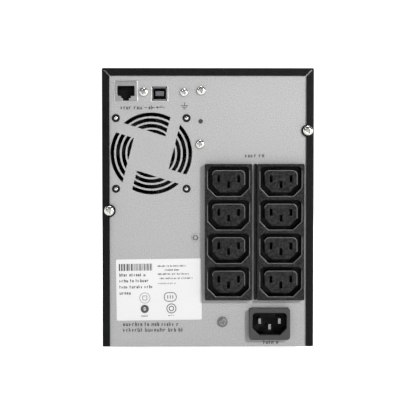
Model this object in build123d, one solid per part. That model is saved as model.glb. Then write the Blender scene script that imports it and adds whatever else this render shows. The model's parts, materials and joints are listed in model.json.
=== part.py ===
from build123d import *
import os

# Tower uninterruptible power supply, in millimetres.
# Origin: centre of the footprint, on the surface that the feet stand on.
# +Z is up, the display faces -Y and the socket panel faces +Y.

# ---- driving dimensions: whole unit ---------------------------------------
HALF_DEPTH = 205.0
CASE_WIDTH = 150.0
CASE_HEIGHT = 198.0
FOOT_HEIGHT = 8.0
SHEET = 1.2
GAP = 0.3

X_WALL = CASE_WIDTH / 2
X_IN = X_WALL - SHEET
Z_BASE = FOOT_HEIGHT
Z_FLOOR = Z_BASE + SHEET
Z_TOP = Z_BASE + CASE_HEIGHT
Z_IN = Z_TOP - SHEET
OUTLET_PROUD = 5.5
INLET_PROUD = 5.0
Y_PANEL = HALF_DEPTH - OUTLET_PROUD
Y_PANEL_IN = Y_PANEL - SHEET
Y_FLANGE = Y_PANEL + SHEET
Y_BEZEL_BACK = -175.0
Y_FRAME_IN = Y_BEZEL_BACK + SHEET

# ---- cover ----------------------------------------------------------------
FLANGE_SIDE = 5.3
FLANGE_TOP = 5.5
MITRE_GAP = 0.9
MITRE_LENGTH = 10.0
MITRE_START = 0.9
COVER_LIFT = 0.5
BEND_RADIUS = 1.15
EAR_RADIUS = 4.5
COVER_SCREWS = [(69.9, 97.1), (-70.7, 153.8)]
VENT_LENGTH = 26.0
VENT_HEIGHT = 3.0
VENT_PITCH_Z = 8.0
VENT_ROWS = 12
VENT_COLUMNS_Y = [-132.0, -98.0, -64.0]
VENT_FIRST_Z = 50.0

# ---- rear panel features: x, and height above the chassis bottom ----------
FAN_X, FAN_Z = 40.2, 137.65
FAN_SIZE = 60.0
FAN_DEPTH = 25.0
FAN_HOLE_SPACING = 50.0
GRILLE_RADII = [29.0, 25.0, 21.0, 17.0]
GRILLE_SLOT = 2.7
LEVEL_EDGE_TURN = -17.5
UPRIGHT_EDGE_TURN = -14.5
ARM_NEAR = 6.8
ARM_FAR = 14.6

RJ45_X, RJ45_Z = 58.0, 181.6
RJ45_WIDTH, RJ45_HEIGHT, RJ45_DEPTH = 15.5, 14.2, 18.0
PORT_PROUD = 0.4
USB_X, USB_Z = 34.25, 179.85
USB_CUT_WIDTH, USB_CUT_HEIGHT = 11.3, 10.1
USB_WIDTH, USB_HEIGHT, USB_DEPTH = 10.2, 8.8, 16.0
USB_WALL = 0.4
PANEL_SCREWS = [(45.4, 181.0), (4.9, 182.0), (5.6, 144.2)]
GROUND_SCREW = (16.9, 180.7)
SMALL_RIVET = (5.15, 160.4)
LARGE_RIVET = (8.9, 77.9)
BASE_SCREW = (-10.3, 17.9)
SCREW_HOLE = 1.75
LABEL_X, LABEL_Z = 34.9, 41.0
LABEL_WIDTH, LABEL_HEIGHT = 60.5, 43.6
LABEL_TURN = 0.7

# ---- socket strips: four IEC 60320 C13 outlets each -----------------------
STRIP_X = [-14.45, -51.4]
STRIP_Z = 82.0
STRIP_WIDTH, STRIP_HEIGHT = 33.5, 96.6
STRIP_LIP = 1.0
STRIP_BACK_Y = 177.0
OUTLET_PITCH = 23.67
OUTLET_COUNT = 4
OUTLET_LIFT = 0.35
RECESS_WIDTH, RECESS_HEIGHT, RECESS_DEPTH = 29.7, 21.2, 17.0
RECESS_CORNER, RECESS_CHAMFER = 3.6, 6.0
CORE_WIDTH, CORE_HEIGHT = 22.8, 15.4
CORE_CORNER, CORE_CHAMFER = 3.0, 5.2
CONTACT_DEPTH = 11.0
PIN_SPACING = 7.0
PIN_LIFT = 1.9
EARTH_DROP = 4.1
SLOT_WIDTH, SLOT_HEIGHT = 1.9, 4.7

# ---- mains inlet: IEC 60320 C14 -------------------------------------------
INLET_X, INLET_Z = -43.65, 16.8
INLET_WIDTH, INLET_HEIGHT = 29.2, 22.8
INLET_BODY_WIDTH, INLET_BODY_HEIGHT = 27.0, 20.0
INLET_BACK_Y = 184.0
INLET_OPEN_WIDTH, INLET_OPEN_HEIGHT, INLET_OPEN_DEPTH = 24.2, 15.7, 16.0
INLET_CORNER, INLET_CHAMFER = 2.5, 4.8
PIN_WIDTH, PIN_HEIGHT = 2.0, 4.0

# ---- battery drawer -------------------------------------------------------
TRAY_X = (-66.0, 38.8)
TRAY_Z = 11.5
TRAY_SHEET = 1.0
TRAY_BACK_Y = 25.2
BATTERY_WIDTH, BATTERY_DEPTH, BATTERY_HEIGHT = 94.0, 65.0, 151.0
BATTERY_COUNT = 3
BATTERY_FIRST_Y = -173.8
BATTERY_X0 = -64.5
DOOR_X = (-73.0, 45.8)
DOOR_Z = (9.6, 170.0)
Y_DOOR = -176.5
DOOR_SCREWS = [(x, z) for x in (-69.8, 42.6) for z in (50.0, 140.0)]
BAY_OPEN_X = (-66.8, 39.6)
BAY_OPEN_Z = (10.9, 165.6)
DIVIDER_X = 41.0
DIVIDER_END_Y = 44.0
PLUG_X, PLUG_Z = -13.6, 50.0
PULL_SPAN = 70.0

# ---- front bezel ----------------------------------------------------------
BEZEL_HALF_WIDTH = 77.0
BEZEL_Z = (5.0, 208.0)
Y_FASCIA = -204.0
Y_SPLIT = -189.0
Z_SPLIT = 172.0
BEZEL_WALL = 3.0
BEZEL_OPEN_X = (-74.2, 47.5)
BEZEL_OPEN_Z = (9.0, 171.0)
WINDOW_X, WINDOW_Z = -22.0, 190.0
WINDOW_WIDTH, WINDOW_HEIGHT = 72.0, 24.0
LOUVRE_ROWS = 9
LOUVRE_FIRST_Z, LOUVRE_PITCH = 44.0, 8.5
LOUVRE_REACH, LOUVRE_HEIGHT = 52.0, 3.2
BUTTON_TRAVEL = 1.2
BUTTON_GAP = 0.35
KEYS = [("button_up", 27.0, 198.0), ("button_down", 27.0, 182.0), ("button_enter", 41.0, 190.0)]
KEY_WIDTH, KEY_HEIGHT = 10.0, 6.0
POWER_X, POWER_Z, POWER_RADIUS = 61.0, 190.0, 7.5
BOARD_X = (-65.0, 73.5)
BOARD_Y = -186.0
BOARD_POSTS = [(-61.5, 184.0), (71.0, 180.0)]
BOARD_THICK = 1.6
SWITCH_HEIGHT = 4.3

# ---- transformer ----------------------------------------------------------
CORE_X, CORE_Y = -8.0, 112.0
EI_WIDTH, EI_HEIGHT, EI_STACK = 114.0, 95.0, 70.0
EI_LEG = 38.0
COIL_OVERHANG = 18.0


def block(x0, x1, y0, y1, z0, z1):
    """A box between two opposite corners."""
    middle = Pos((x0 + x1) / 2, (y0 + y1) / 2, (z0 + z1) / 2)
    return middle * Box(x1 - x0, y1 - y0, z1 - z0)


def rear_plane(x, z, y):
    """Drawing plane that faces +Y: its own x runs towards -X and its own y runs up."""
    return Plane(origin=(x, y, z), x_dir=(-1, 0, 0), z_dir=(0, 1, 0))


def front_plane(x, z, y):
    """Drawing plane that faces -Y."""
    return Plane(origin=(x, y, z), x_dir=(1, 0, 0), z_dir=(0, -1, 0))


def above_base(point):
    """Turn (x, height above the chassis bottom) into (x, z)."""
    return point[0], Z_BASE + point[1]


def iec_outline(width, height, corner, chamfer):
    """Appliance coupler outline: rounded above, chamfered below."""
    w = width / 2
    h = height / 2
    lower = [(-w + chamfer, -h), (w - chamfer, -h), (w, -h + chamfer)]
    upper = [(w, h), (-w, h), (-w, -h + chamfer)]
    face = make_face(Polyline(*lower, *upper, close=True))
    return fillet(face.vertices().sort_by(Axis.Y)[-2:], corner)


def pan_screw(head_radius, head_height, shank_radius, shank_length):
    """Cross-recess pan-head screw along +Z, its head standing on z = 0."""
    head = Pos(0, 0, head_height / 2) * Cylinder(head_radius, head_height)
    head = fillet(head.edges().sort_by(Axis.Z)[-1:], head_height * 0.7)
    slot_length = head_radius * 1.15
    recess = Pos(0, 0, head_height) * Box(slot_length, 0.9, head_height)
    recess += Pos(0, 0, head_height) * Box(0.9, slot_length, head_height)
    shank = Pos(0, 0, -shank_length / 2) * Cylinder(shank_radius, shank_length)
    return head - recess + shank


def place_rear(solid, x, z, y):
    """Stand a +Z solid on the rear face at (x, z)."""
    return rear_plane(x, z, y).location * solid


def write(name, solids):
    """Write one node; a list becomes a group of separate solids."""
    shape = Compound(children=solids) if isinstance(solids, list) else solids
    export_step(shape, os.path.join("parts", name + ".step"))


# ---- sheet metal ----------------------------------------------------------
def grille_window(quarter):
    """Corner region that one quadrant of slots fills; its two edges aren't quite square."""
    reach = GRILLE_RADII[0] + 5
    near = Pos(ARM_NEAR - reach, 0) * Rectangle(2 * reach, 4 * reach)
    far = Pos(0, ARM_FAR + reach) * Rectangle(4 * reach, 2 * reach)
    upright, level = UPRIGHT_EDGE_TURN, LEVEL_EDGE_TURN
    if quarter % 2:
        upright, level = level, upright
    window = (Rot(0, 0, upright) * near) & (Rot(0, 0, level) * far)
    return Rot(0, 0, 90 * quarter) * window


def grille_slots():
    """Concentric arc slots, cut into four quadrants by a pinwheel of solid arms."""
    slots = []
    fan_x, fan_z = above_base((FAN_X, FAN_Z))
    plane = rear_plane(fan_x, fan_z, Y_PANEL)
    for quarter in range(4):
        window = grille_window(quarter)
        for radius in GRILLE_RADII:
            ring = Circle(radius) - Circle(radius - GRILLE_SLOT)
            slots.append(extrude(plane * (ring & window), amount=-2 * SHEET))
    return slots


def panel_hole(x, z, radius):
    """Round tool that cuts a hole through the rear panel."""
    return place_rear(Cylinder(radius, 4 * SHEET), x, z, Y_PANEL)


def panel_cutout(x, z, width, height):
    """Rectangular tool that cuts an opening through the rear panel."""
    return block(x - width / 2, x + width / 2, Y_PANEL - 3, Y_PANEL + 3, z - height / 2, z + height / 2)


def chassis_base():
    """Floor, low side flanges and socket panel, folded from one sheet."""
    body = block(-X_IN, X_IN, Y_BEZEL_BACK, Y_PANEL, Z_BASE, Z_FLOOR)
    body += block(-X_IN, X_IN, Y_PANEL_IN, Y_PANEL, Z_BASE, Z_IN)
    flange_top = Z_FLOOR + 22
    for side in (-1, 1):
        inner = side * (X_IN - SHEET)
        outer = side * X_IN
        low, high = sorted((inner, outer))
        body += block(low, high, Y_FRAME_IN + 4, Y_PANEL_IN - 1, Z_BASE, flange_top)
    bend = body.edges().filter_by(Axis.X).filter_by_position(Axis.Y, Y_PANEL - 0.01, Y_PANEL + 0.01)
    body = fillet(bend.sort_by(Axis.Z)[:1], BEND_RADIUS)
    cuts = grille_slots()
    fan_x, fan_z = above_base((FAN_X, FAN_Z))
    half = FAN_HOLE_SPACING / 2
    for dx in (-half, half):
        for dz in (-half, half):
            cuts.append(panel_hole(fan_x + dx, fan_z + dz, 2.85))
    cuts.append(panel_cutout(RJ45_X, Z_BASE + RJ45_Z, RJ45_WIDTH + GAP, RJ45_HEIGHT + GAP))
    cuts.append(panel_cutout(USB_X, Z_BASE + USB_Z, USB_CUT_WIDTH, USB_CUT_HEIGHT))
    for strip_x in STRIP_X:
        cuts.append(panel_cutout(strip_x, Z_BASE + STRIP_Z, STRIP_WIDTH - 2 * STRIP_LIP,
                                 STRIP_HEIGHT - 2 * STRIP_LIP))
    cuts.append(panel_cutout(INLET_X, Z_BASE + INLET_Z, INLET_BODY_WIDTH, INLET_BODY_HEIGHT))
    for point in PANEL_SCREWS + [GROUND_SCREW, BASE_SCREW] + COVER_SCREWS:
        x, z = above_base(point)
        cuts.append(panel_hole(x, z, SCREW_HOLE))
    cuts.append(panel_hole(*above_base(SMALL_RIVET), 1.2))
    cuts.append(panel_hole(*above_base(LARGE_RIVET), 1.6))
    for foot_x, foot_y in foot_places():
        cuts.append(Pos(foot_x, foot_y, Z_BASE) * Cylinder(2.0, 4 * SHEET))
    return body - cuts


def top_cover():
    """Wrap-round cover: top, two sides and mitred return flanges over the socket panel."""
    bottom = Z_BASE + COVER_LIFT
    shell = block(-X_WALL, X_WALL, Y_BEZEL_BACK, Y_FLANGE, bottom, Z_TOP)
    corners = shell.edges().filter_by(Axis.Y).sort_by(Axis.Z)[-2:]
    shell = fillet(corners, BEND_RADIUS)
    rear = shell.faces().sort_by(Axis.Y)[-1]
    shell = fillet([e for e in rear.edges() if e.center().Z > bottom + 1], BEND_RADIUS)
    shell -= block(-X_IN, X_IN, Y_BEZEL_BACK - 1, Y_PANEL, bottom - 1, Z_IN)
    flange_x = X_WALL - FLANGE_SIDE
    window = block(-flange_x, flange_x, Y_PANEL - 1, Y_FLANGE + 1, bottom - 1, Z_TOP - FLANGE_TOP)
    for point in COVER_SCREWS:
        x, z = above_base(point)
        window -= place_rear(Cylinder(EAR_RADIUS, 20), x, z, Y_PANEL)
    shell -= window
    cuts = []
    inset = MITRE_START + MITRE_LENGTH / 2 * 0.7071
    for side in (-1, 1):
        mitre = Rot(0, -side * 45, 0) * Box(MITRE_LENGTH, 2 * SHEET, MITRE_GAP)
        cuts.append(Pos(side * (X_WALL - inset), Y_FLANGE, Z_TOP - inset) * mitre)
    for point in COVER_SCREWS:
        x, z = above_base(point)
        cuts.append(place_rear(Cylinder(1.9, 10), x, z, Y_PANEL))
    for vent_y in VENT_COLUMNS_Y:
        for row in range(VENT_ROWS):
            plane = Plane(origin=(-X_WALL - 5, vent_y, VENT_FIRST_Z + row * VENT_PITCH_Z),
                          x_dir=(0, 1, 0), z_dir=(1, 0, 0))
            slot = extrude(plane * SlotOverall(VENT_LENGTH, VENT_HEIGHT), amount=CASE_WIDTH + 10)
            cuts.append(slot)
    return shell - cuts


def front_frame():
    """Front bulkhead with the drawer opening."""
    sheet = block(-X_IN, X_IN, Y_BEZEL_BACK, Y_FRAME_IN, Z_FLOOR, Z_IN)
    cuts = [block(*BAY_OPEN_X, Y_BEZEL_BACK - 1, Y_FRAME_IN + 1, *BAY_OPEN_Z)]
    for x, z in DOOR_SCREWS:
        cuts.append(place_rear(Cylinder(2.3, 6), x, z, Y_BEZEL_BACK))
    for x, z in bezel_screw_places():
        cuts.append(place_rear(Cylinder(1.7, 6), x, z, Y_BEZEL_BACK))
    cuts.append(block(-10, 20, Y_BEZEL_BACK - 1, Y_FRAME_IN + 1, 178, 190))
    return sheet - cuts


def bay_divider():
    """Wall beside the battery bay, turned across its back end."""
    wall = block(DIVIDER_X, DIVIDER_X + SHEET, -168, DIVIDER_END_Y, Z_FLOOR, 196)
    wall += block(-X_IN + 6, DIVIDER_X + SHEET, DIVIDER_END_Y, DIVIDER_END_Y + SHEET, Z_FLOOR, 150)
    wall += block(DIVIDER_X - 9, DIVIDER_X, DIVIDER_END_Y - 8, DIVIDER_END_Y, Z_FLOOR, Z_FLOOR + SHEET)
    socket = block(PLUG_X - 18, PLUG_X + 18, DIVIDER_END_Y - 5, DIVIDER_END_Y + 5, PLUG_Z - 10, PLUG_Z + 10)
    cable_window = block(DIVIDER_X - 3, DIVIDER_X + 3, -30, -2, 170, 182)
    return wall - socket - cable_window


def drawer_rails():
    """Nylon guides: one leg under each edge of the tray, one leg beside it."""
    left = block(TRAY_X[0] - GAP, -58, -168, 36, Z_FLOOR, TRAY_Z - GAP)
    left += block(TRAY_X[0] - GAP - 1.5, TRAY_X[0] - GAP, -168, 36, Z_FLOOR, 24)
    right = block(31, TRAY_X[1] + GAP, -168, 36, Z_FLOOR, TRAY_Z - GAP)
    right += block(TRAY_X[1] + GAP, TRAY_X[1] + GAP + 1.5, -168, 36, Z_FLOOR, 24)
    return [left, right]


# ---- feet and fasteners ---------------------------------------------------
def foot_places():
    """Centres of the four feet, x and y."""
    return [(x, y) for x in (-52, 52) for y in (-140, 140)]


def feet():
    """Tapered rubber feet with a plug that snaps into the floor."""
    pieces = []
    for x, y in foot_places():
        pad = Pos(0, 0, FOOT_HEIGHT / 2) * Cone(8.0, 9.5, FOOT_HEIGHT)
        pad = fillet(pad.edges().sort_by(Axis.Z)[:1], 1.0)
        plug = Pos(0, 0, Z_BASE + SHEET / 2) * Cylinder(2.0, SHEET)
        head = Pos(0, 0, Z_FLOOR + 0.5) * Cylinder(3.0, 1.0)
        pieces.append(Pos(x, y, 0) * (pad + plug + head))
    return pieces


def cover_screws():
    """Two pan-head screws that hold the cover by its round ears."""
    screws = []
    for turn, point in zip((20, 35), COVER_SCREWS):
        x, z = above_base(point)
        screws.append(place_rear(Rot(0, 0, turn) * pan_screw(3.6, 2.3, 1.7, 6.0), x, z, Y_FLANGE))
    return screws


def panel_screws():
    """Three pan-head screws in the rear panel."""
    screws = []
    for turn, point in zip((50, 15, 70), PANEL_SCREWS):
        x, z = above_base(point)
        screws.append(place_rear(Rot(0, 0, turn) * pan_screw(3.25, 2.1, 1.7, 6.0), x, z, Y_PANEL))
    return screws


def ground_screw():
    """Earth screw beside the data ports."""
    x, z = above_base(GROUND_SCREW)
    return place_rear(Rot(0, 0, 30) * pan_screw(3.0, 2.0, 1.7, 7.0), x, z, Y_PANEL)


def base_screw():
    """Hexagonal washer-head screw that ties the panel to the floor gusset."""
    x, z = above_base(BASE_SCREW)
    washer = Pos(0, 0, 0.3) * Cylinder(3.6, 0.6)
    head = extrude(RegularPolygon(2.7, 6, major_radius=False), amount=2.0)
    recess = Pos(0, 0, 2.0) * Box(3.2, 0.8, 1.8) + Pos(0, 0, 2.0) * Box(0.8, 3.2, 1.8)
    shank = Pos(0, 0, -3) * Cylinder(1.7, 6.0)
    return place_rear(Rot(0, 0, 22) * (washer + head - recess + shank), x, z, Y_PANEL)


def panel_rivets():
    """Blind rivets: a domed flange with its mandrel hole."""
    pieces = []
    for point, radius, body, hole in ((SMALL_RIVET, 1.6, 1.2, 0.5), (LARGE_RIVET, 3.2, 1.6, 0.95)):
        x, z = above_base(point)
        dome = Pos(0, 0, 0.4) * Cylinder(radius, 0.8)
        dome = fillet(dome.edges().sort_by(Axis.Z)[-1:], 0.6)
        stem = Pos(0, 0, -2.0) * Cylinder(body, 4.0)
        pieces.append(place_rear(dome + stem - Cylinder(hole, 2.4), x, z, Y_PANEL))
    return pieces


def rating_label():
    """Thin label on the rear panel, turned a little."""
    plane = rear_plane(LABEL_X, Z_BASE + LABEL_Z, Y_PANEL)
    paper = RectangleRounded(LABEL_WIDTH, LABEL_HEIGHT, 0.8)
    return extrude(plane * (Rot(0, 0, LABEL_TURN) * paper), amount=0.15)


# ---- sockets --------------------------------------------------------------
def outlet_heights():
    """Heights of the outlet centres in a strip, from the top down."""
    top = STRIP_Z + OUTLET_LIFT + OUTLET_PITCH * (OUTLET_COUNT - 1) / 2
    return [Z_BASE + top - OUTLET_PITCH * row for row in range(OUTLET_COUNT)]


def slot_places(x, z):
    """Line, neutral and earth positions of a coupler centred at (x, z)."""
    return [(x - PIN_SPACING, z + PIN_LIFT), (x + PIN_SPACING, z + PIN_LIFT), (x, z + PIN_LIFT - EARTH_DROP)]


def outlet_strip(strip_x):
    """Four outlets moulded in one housing that snaps into the panel."""
    z = Z_BASE + STRIP_Z
    flange = block(strip_x - STRIP_WIDTH / 2, strip_x + STRIP_WIDTH / 2, Y_PANEL, HALF_DEPTH,
                   z - STRIP_HEIGHT / 2, z + STRIP_HEIGHT / 2)
    flange = fillet(flange.edges().filter_by(Axis.Y), 0.8)
    flange = fillet(flange.faces().sort_by(Axis.Y)[-1].edges(), 0.5)
    half_width = STRIP_WIDTH / 2 - STRIP_LIP
    half_height = STRIP_HEIGHT / 2 - STRIP_LIP
    body = flange + block(strip_x - half_width, strip_x + half_width, STRIP_BACK_Y, Y_PANEL,
                          z - half_height, z + half_height)
    for outlet_z in outlet_heights():
        plane = rear_plane(strip_x, outlet_z, HALF_DEPTH)
        ring = iec_outline(RECESS_WIDTH, RECESS_HEIGHT, RECESS_CORNER, RECESS_CHAMFER)
        ring -= iec_outline(CORE_WIDTH, CORE_HEIGHT, CORE_CORNER, CORE_CHAMFER)
        body -= extrude(plane * ring, amount=-RECESS_DEPTH)
        slots = [block(x - SLOT_WIDTH / 2, x + SLOT_WIDTH / 2, STRIP_BACK_Y - 1, HALF_DEPTH + 1,
                       slot_z - SLOT_HEIGHT / 2, slot_z + SLOT_HEIGHT / 2)
                 for x, slot_z in slot_places(strip_x, outlet_z)]
        body -= slots
    return body


def outlet_contacts():
    """Brass receptacle contacts, each with a tab behind the housing."""
    contacts = []
    for strip_x in STRIP_X:
        for outlet_z in outlet_heights():
            for x, z in slot_places(strip_x, outlet_z):
                front = HALF_DEPTH - CONTACT_DEPTH
                clip = block(x - 0.8, x + 0.8, STRIP_BACK_Y - 8, front, z - 2.2, z + 2.2)
                mouth = block(x - 0.4, x + 0.4, front - 10, front + 1, z - 3, z + 3)
                contacts.append(clip - mouth)
    return contacts


def inlet_pin_places():
    """Centres of the three pins of the mains inlet, x and z."""
    return slot_places(INLET_X, Z_BASE + INLET_Z)


def inlet_housing():
    """Snap-in inlet: proud flange, body through the panel, recess and pin seats."""
    z = Z_BASE + INLET_Z
    face_y = Y_PANEL + INLET_PROUD
    flange = block(INLET_X - INLET_WIDTH / 2, INLET_X + INLET_WIDTH / 2, Y_PANEL, face_y,
                   z - INLET_HEIGHT / 2, z + INLET_HEIGHT / 2)
    flange = fillet(flange.edges().filter_by(Axis.Y), 1.8)
    flange = fillet(flange.faces().sort_by(Axis.Y)[-1].edges(), 0.7)
    body = flange + block(INLET_X - INLET_BODY_WIDTH / 2, INLET_X + INLET_BODY_WIDTH / 2, INLET_BACK_Y,
                          Y_PANEL, z - INLET_BODY_HEIGHT / 2, z + INLET_BODY_HEIGHT / 2)
    opening = iec_outline(INLET_OPEN_WIDTH, INLET_OPEN_HEIGHT, INLET_CORNER, INLET_CHAMFER)
    body -= extrude(rear_plane(INLET_X, z, face_y) * opening, amount=-INLET_OPEN_DEPTH)
    seats = [block(x - PIN_WIDTH / 2, x + PIN_WIDTH / 2, INLET_BACK_Y - 1, face_y,
                   pin_z - PIN_HEIGHT / 2, pin_z + PIN_HEIGHT / 2) for x, pin_z in inlet_pin_places()]
    return body - seats


def inlet_pins():
    """Line, neutral and earth pins with bevelled tips and rear tabs."""
    pins = []
    tip_y = Y_PANEL + INLET_PROUD - 2.0
    for x, z in inlet_pin_places():
        pin = block(x - PIN_WIDTH / 2, x + PIN_WIDTH / 2, INLET_BACK_Y - 10, tip_y,
                    z - PIN_HEIGHT / 2, z + PIN_HEIGHT / 2)
        pins.append(chamfer(pin.faces().sort_by(Axis.Y)[-1].edges(), 0.6))
    return pins


# ---- data ports -----------------------------------------------------------
def rj45_opening(depth):
    """Plug opening with the stepped latch notch below, cut inwards from the face."""
    z = Z_BASE + RJ45_Z
    face_y = Y_PANEL + PORT_PROUD
    cut = block(RJ45_X - 6.1, RJ45_X + 6.1, face_y - depth, face_y + 1, z - 3.5, z + 4.3)
    cut += block(RJ45_X - 3.4, RJ45_X + 3.4, face_y - depth, face_y + 1, z - 5.2, z - 3.4)
    cut += block(RJ45_X - 2.1, RJ45_X + 2.1, face_y - depth, face_y + 1, z - 6.6, z - 5.1)
    return cut


def rj45_shield():
    """Tinned steel can round the network jack."""
    z = Z_BASE + RJ45_Z
    w = RJ45_WIDTH / 2
    h = RJ45_HEIGHT / 2
    face_y = Y_PANEL + PORT_PROUD
    can = block(RJ45_X - w, RJ45_X + w, face_y - RJ45_DEPTH, face_y, z - h, z + h)
    can -= block(RJ45_X - w + 0.4, RJ45_X + w - 0.4, face_y - RJ45_DEPTH - 1, face_y - 0.5,
                 z - h + 0.3, z + h - 0.4)
    return can - rj45_opening(4.0)


def rj45_insert():
    """Moulded insert of the network jack, with its stepped mouth."""
    z = Z_BASE + RJ45_Z
    w = RJ45_WIDTH / 2 - 0.4
    face_y = Y_PANEL + PORT_PROUD
    body = block(RJ45_X - w, RJ45_X + w, face_y - RJ45_DEPTH, face_y - 0.5,
                 z - RJ45_HEIGHT / 2 + 0.3, z + RJ45_HEIGHT / 2 - 0.4)
    return body - rj45_opening(13.0)


def rj45_contacts():
    """Eight sprung wires that slope down from the roof of the jack."""
    z = Z_BASE + RJ45_Z
    wires = []
    for index in range(8):
        x = RJ45_X + (index - 3.5) * 1.02
        wire = Rot(18, 0, 0) * Box(0.45, 7.0, 0.35)
        wires.append(Pos(x, Y_PANEL - 7.5, z + 2.5) * wire)
    return wires


def usb_shell():
    """Drawn steel shell of the square USB socket, on four legs that stand on its board."""
    z = Z_BASE + USB_Z
    w = USB_WIDTH / 2
    h = USB_HEIGHT / 2
    front = Y_PANEL - PORT_PROUD
    outer = block(USB_X - w, USB_X + w, Y_PANEL - USB_DEPTH, front, z - h, z + h)
    outer = fillet(outer.edges().filter_by(Axis.Y), 0.8)
    outer -= block(USB_X - w + USB_WALL, USB_X + w - USB_WALL, Y_PANEL - USB_DEPTH - 1, Y_PANEL + 1,
                   z - h + USB_WALL, z + h - USB_WALL)
    for inner_x in (USB_X - w, USB_X + w - USB_WALL):
        for leg_y in (Y_PANEL - USB_DEPTH, Y_PANEL - 6):
            outer += block(inner_x, inner_x + USB_WALL, leg_y, leg_y + 3, board_top(), z - h + 1.5)
    return outer


def usb_insert():
    """Insulator block with the contact tongue, chamfered above like the plug."""
    z = Z_BASE + USB_Z
    w = USB_WIDTH / 2 - USB_WALL
    h = USB_HEIGHT / 2 - USB_WALL
    body = block(USB_X - w, USB_X + w, Y_PANEL - USB_DEPTH, Y_PANEL - 1.2, z - h, z + h)
    mouth = Rectangle(8.4, 7.2)
    mouth = chamfer(mouth.vertices().sort_by(Axis.Y)[-2:], 1.6)
    body -= extrude(rear_plane(USB_X, z, Y_PANEL) * mouth, amount=-9.5)
    tongue = block(USB_X - 3.1, USB_X + 3.1, Y_PANEL - 10, Y_PANEL - 2.0, z - 1.3, z + 1.8)
    return body + tongue


def board_top():
    """Upper face of the interface board, on which both ports stand."""
    return Z_BASE + RJ45_Z - RJ45_HEIGHT / 2


def comms_board():
    """Interface board under the two ports, with its chips."""
    top = board_top()
    board = block(26, 70, 150, Y_PANEL_IN - 0.5, top - BOARD_THICK, top)
    chips = [block(33, 45, 158, 170, top, top + 1.2), block(54, 61, 156, 164, top, top + 1.2)]
    return [board] + chips


def port_bracket():
    """Small angle that takes the panel screw between the two ports."""
    x = PANEL_SCREWS[0][0]
    z = Z_BASE + PANEL_SCREWS[0][1]
    top = board_top()
    tab = block(x - 4.2, x + 4.2, Y_PANEL_IN - SHEET, Y_PANEL_IN, top, z + 5)
    foot = block(x - 4.2, x + 4.2, Y_PANEL_IN - 12, Y_PANEL_IN, top, top + SHEET)
    return tab + foot - place_rear(Cylinder(SCREW_HOLE, 8), x, z, Y_PANEL_IN)


# ---- fan ------------------------------------------------------------------
def fan_frame():
    """Square duct with a motor plate carried by four arms on its inner side."""
    x, z = above_base((FAN_X, FAN_Z))
    half = FAN_SIZE / 2
    y0 = Y_PANEL_IN - FAN_DEPTH
    frame = block(x - half, x + half, y0, Y_PANEL_IN, z - half, z + half)
    frame = fillet(frame.edges().filter_by(Axis.Y), 4.0)
    frame -= place_rear(Cylinder(28.6, 3 * FAN_DEPTH), x, z, Y_PANEL_IN)
    plate = place_rear(Cylinder(13.0, 2.0), x, z, y0 + 1.0)
    arms = place_rear(Box(58.0, 3.0, 2.0) + Box(3.0, 58.0, 2.0), x, z, y0 + 1.0)
    frame += plate + arms
    spacing = FAN_HOLE_SPACING / 2
    holes = [place_rear(Cylinder(2.2, 3 * FAN_DEPTH), x + dx, z + dz, Y_PANEL_IN)
             for dx in (-spacing, spacing) for dz in (-spacing, spacing)]
    return frame - holes - place_rear(Cylinder(4.0, 8), x, z, y0)


def fan_stator():
    """Bearing tube and wound core, fixed to the motor plate."""
    x, z = above_base((FAN_X, FAN_Z))
    y0 = Y_PANEL_IN - FAN_DEPTH
    tube = place_rear(Cylinder(4.0, 14.0), x, z, y0 + 7.0)
    core = place_rear(Cylinder(9.5, 8.0), x, z, y0 + 7.5)
    return tube + core - place_rear(Cylinder(1.55, 40.0), x, z, y0)


def fan_rotor():
    """Hub cup, seven pitched blades and the shaft that turns in the bearing tube."""
    x, z = above_base((FAN_X, FAN_Z))
    depth = 17.0
    hub = Cylinder(12.25, depth) - Pos(0, 0, -1.5) * Cylinder(11.0, depth)
    shaft = Pos(0, 0, -0.5) * Cylinder(1.5, depth - 1)
    blades = []
    for index in range(7):
        blade = Pos(19.6, 0, 0) * Rot(38, 0, 0) * Box(16.4, 1.5, 17.0)
        blades.append(Rot(0, 0, index * 360 / 7) * blade)
    swept = Part() + blades
    swept &= Cylinder(27.8, 14.0) - Cylinder(12.0, 20.0)
    return place_rear(hub + shaft + swept, x, z, Y_PANEL_IN - 4.0 - depth / 2)


def fan_fixings():
    """Nylon inserts through the panel, and the steel pins that spread them."""
    x, z = above_base((FAN_X, FAN_Z))
    spacing = FAN_HOLE_SPACING / 2
    insert = Pos(0, 0, 0.85) * Cylinder(2.85, 1.7) + Pos(0, 0, -8.0) * Cylinder(2.1, 16.0)
    insert = insert - Cylinder(1.6, 60)
    pin = Pos(0, 0, -8.0) * Cylinder(1.6, 20.0)
    pin = fillet(pin.edges().sort_by(Axis.Z)[-1:], 0.5)
    inserts = []
    pins = []
    for dx in (-spacing, spacing):
        for dz in (-spacing, spacing):
            inserts.append(place_rear(insert, x + dx, z + dz, Y_PANEL_IN))
            pins.append(place_rear(pin, x + dx, z + dz, Y_PANEL_IN))
    return inserts, pins


# ---- power parts ----------------------------------------------------------
def transformer_core():
    """E and I laminations, stacked front to back, with bolt holes at the corners."""
    core = block(CORE_X - EI_WIDTH / 2, CORE_X + EI_WIDTH / 2, CORE_Y - EI_STACK / 2, CORE_Y + EI_STACK / 2,
                 Z_FLOOR + SHEET, Z_FLOOR + SHEET + EI_HEIGHT)
    middle_z = Z_FLOOR + SHEET + EI_HEIGHT / 2
    half_leg = EI_LEG / 2
    for side in (-1, 1):
        low, high = sorted((CORE_X + side * half_leg, CORE_X + side * 2 * half_leg))
        core -= block(low, high, CORE_Y - 50, CORE_Y + 50, middle_z - 28.5, middle_z + 28.5)
    for x, z in core_bolt_places():
        core -= place_rear(Cylinder(2.3, 200), x, z, CORE_Y)
    return core


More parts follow.
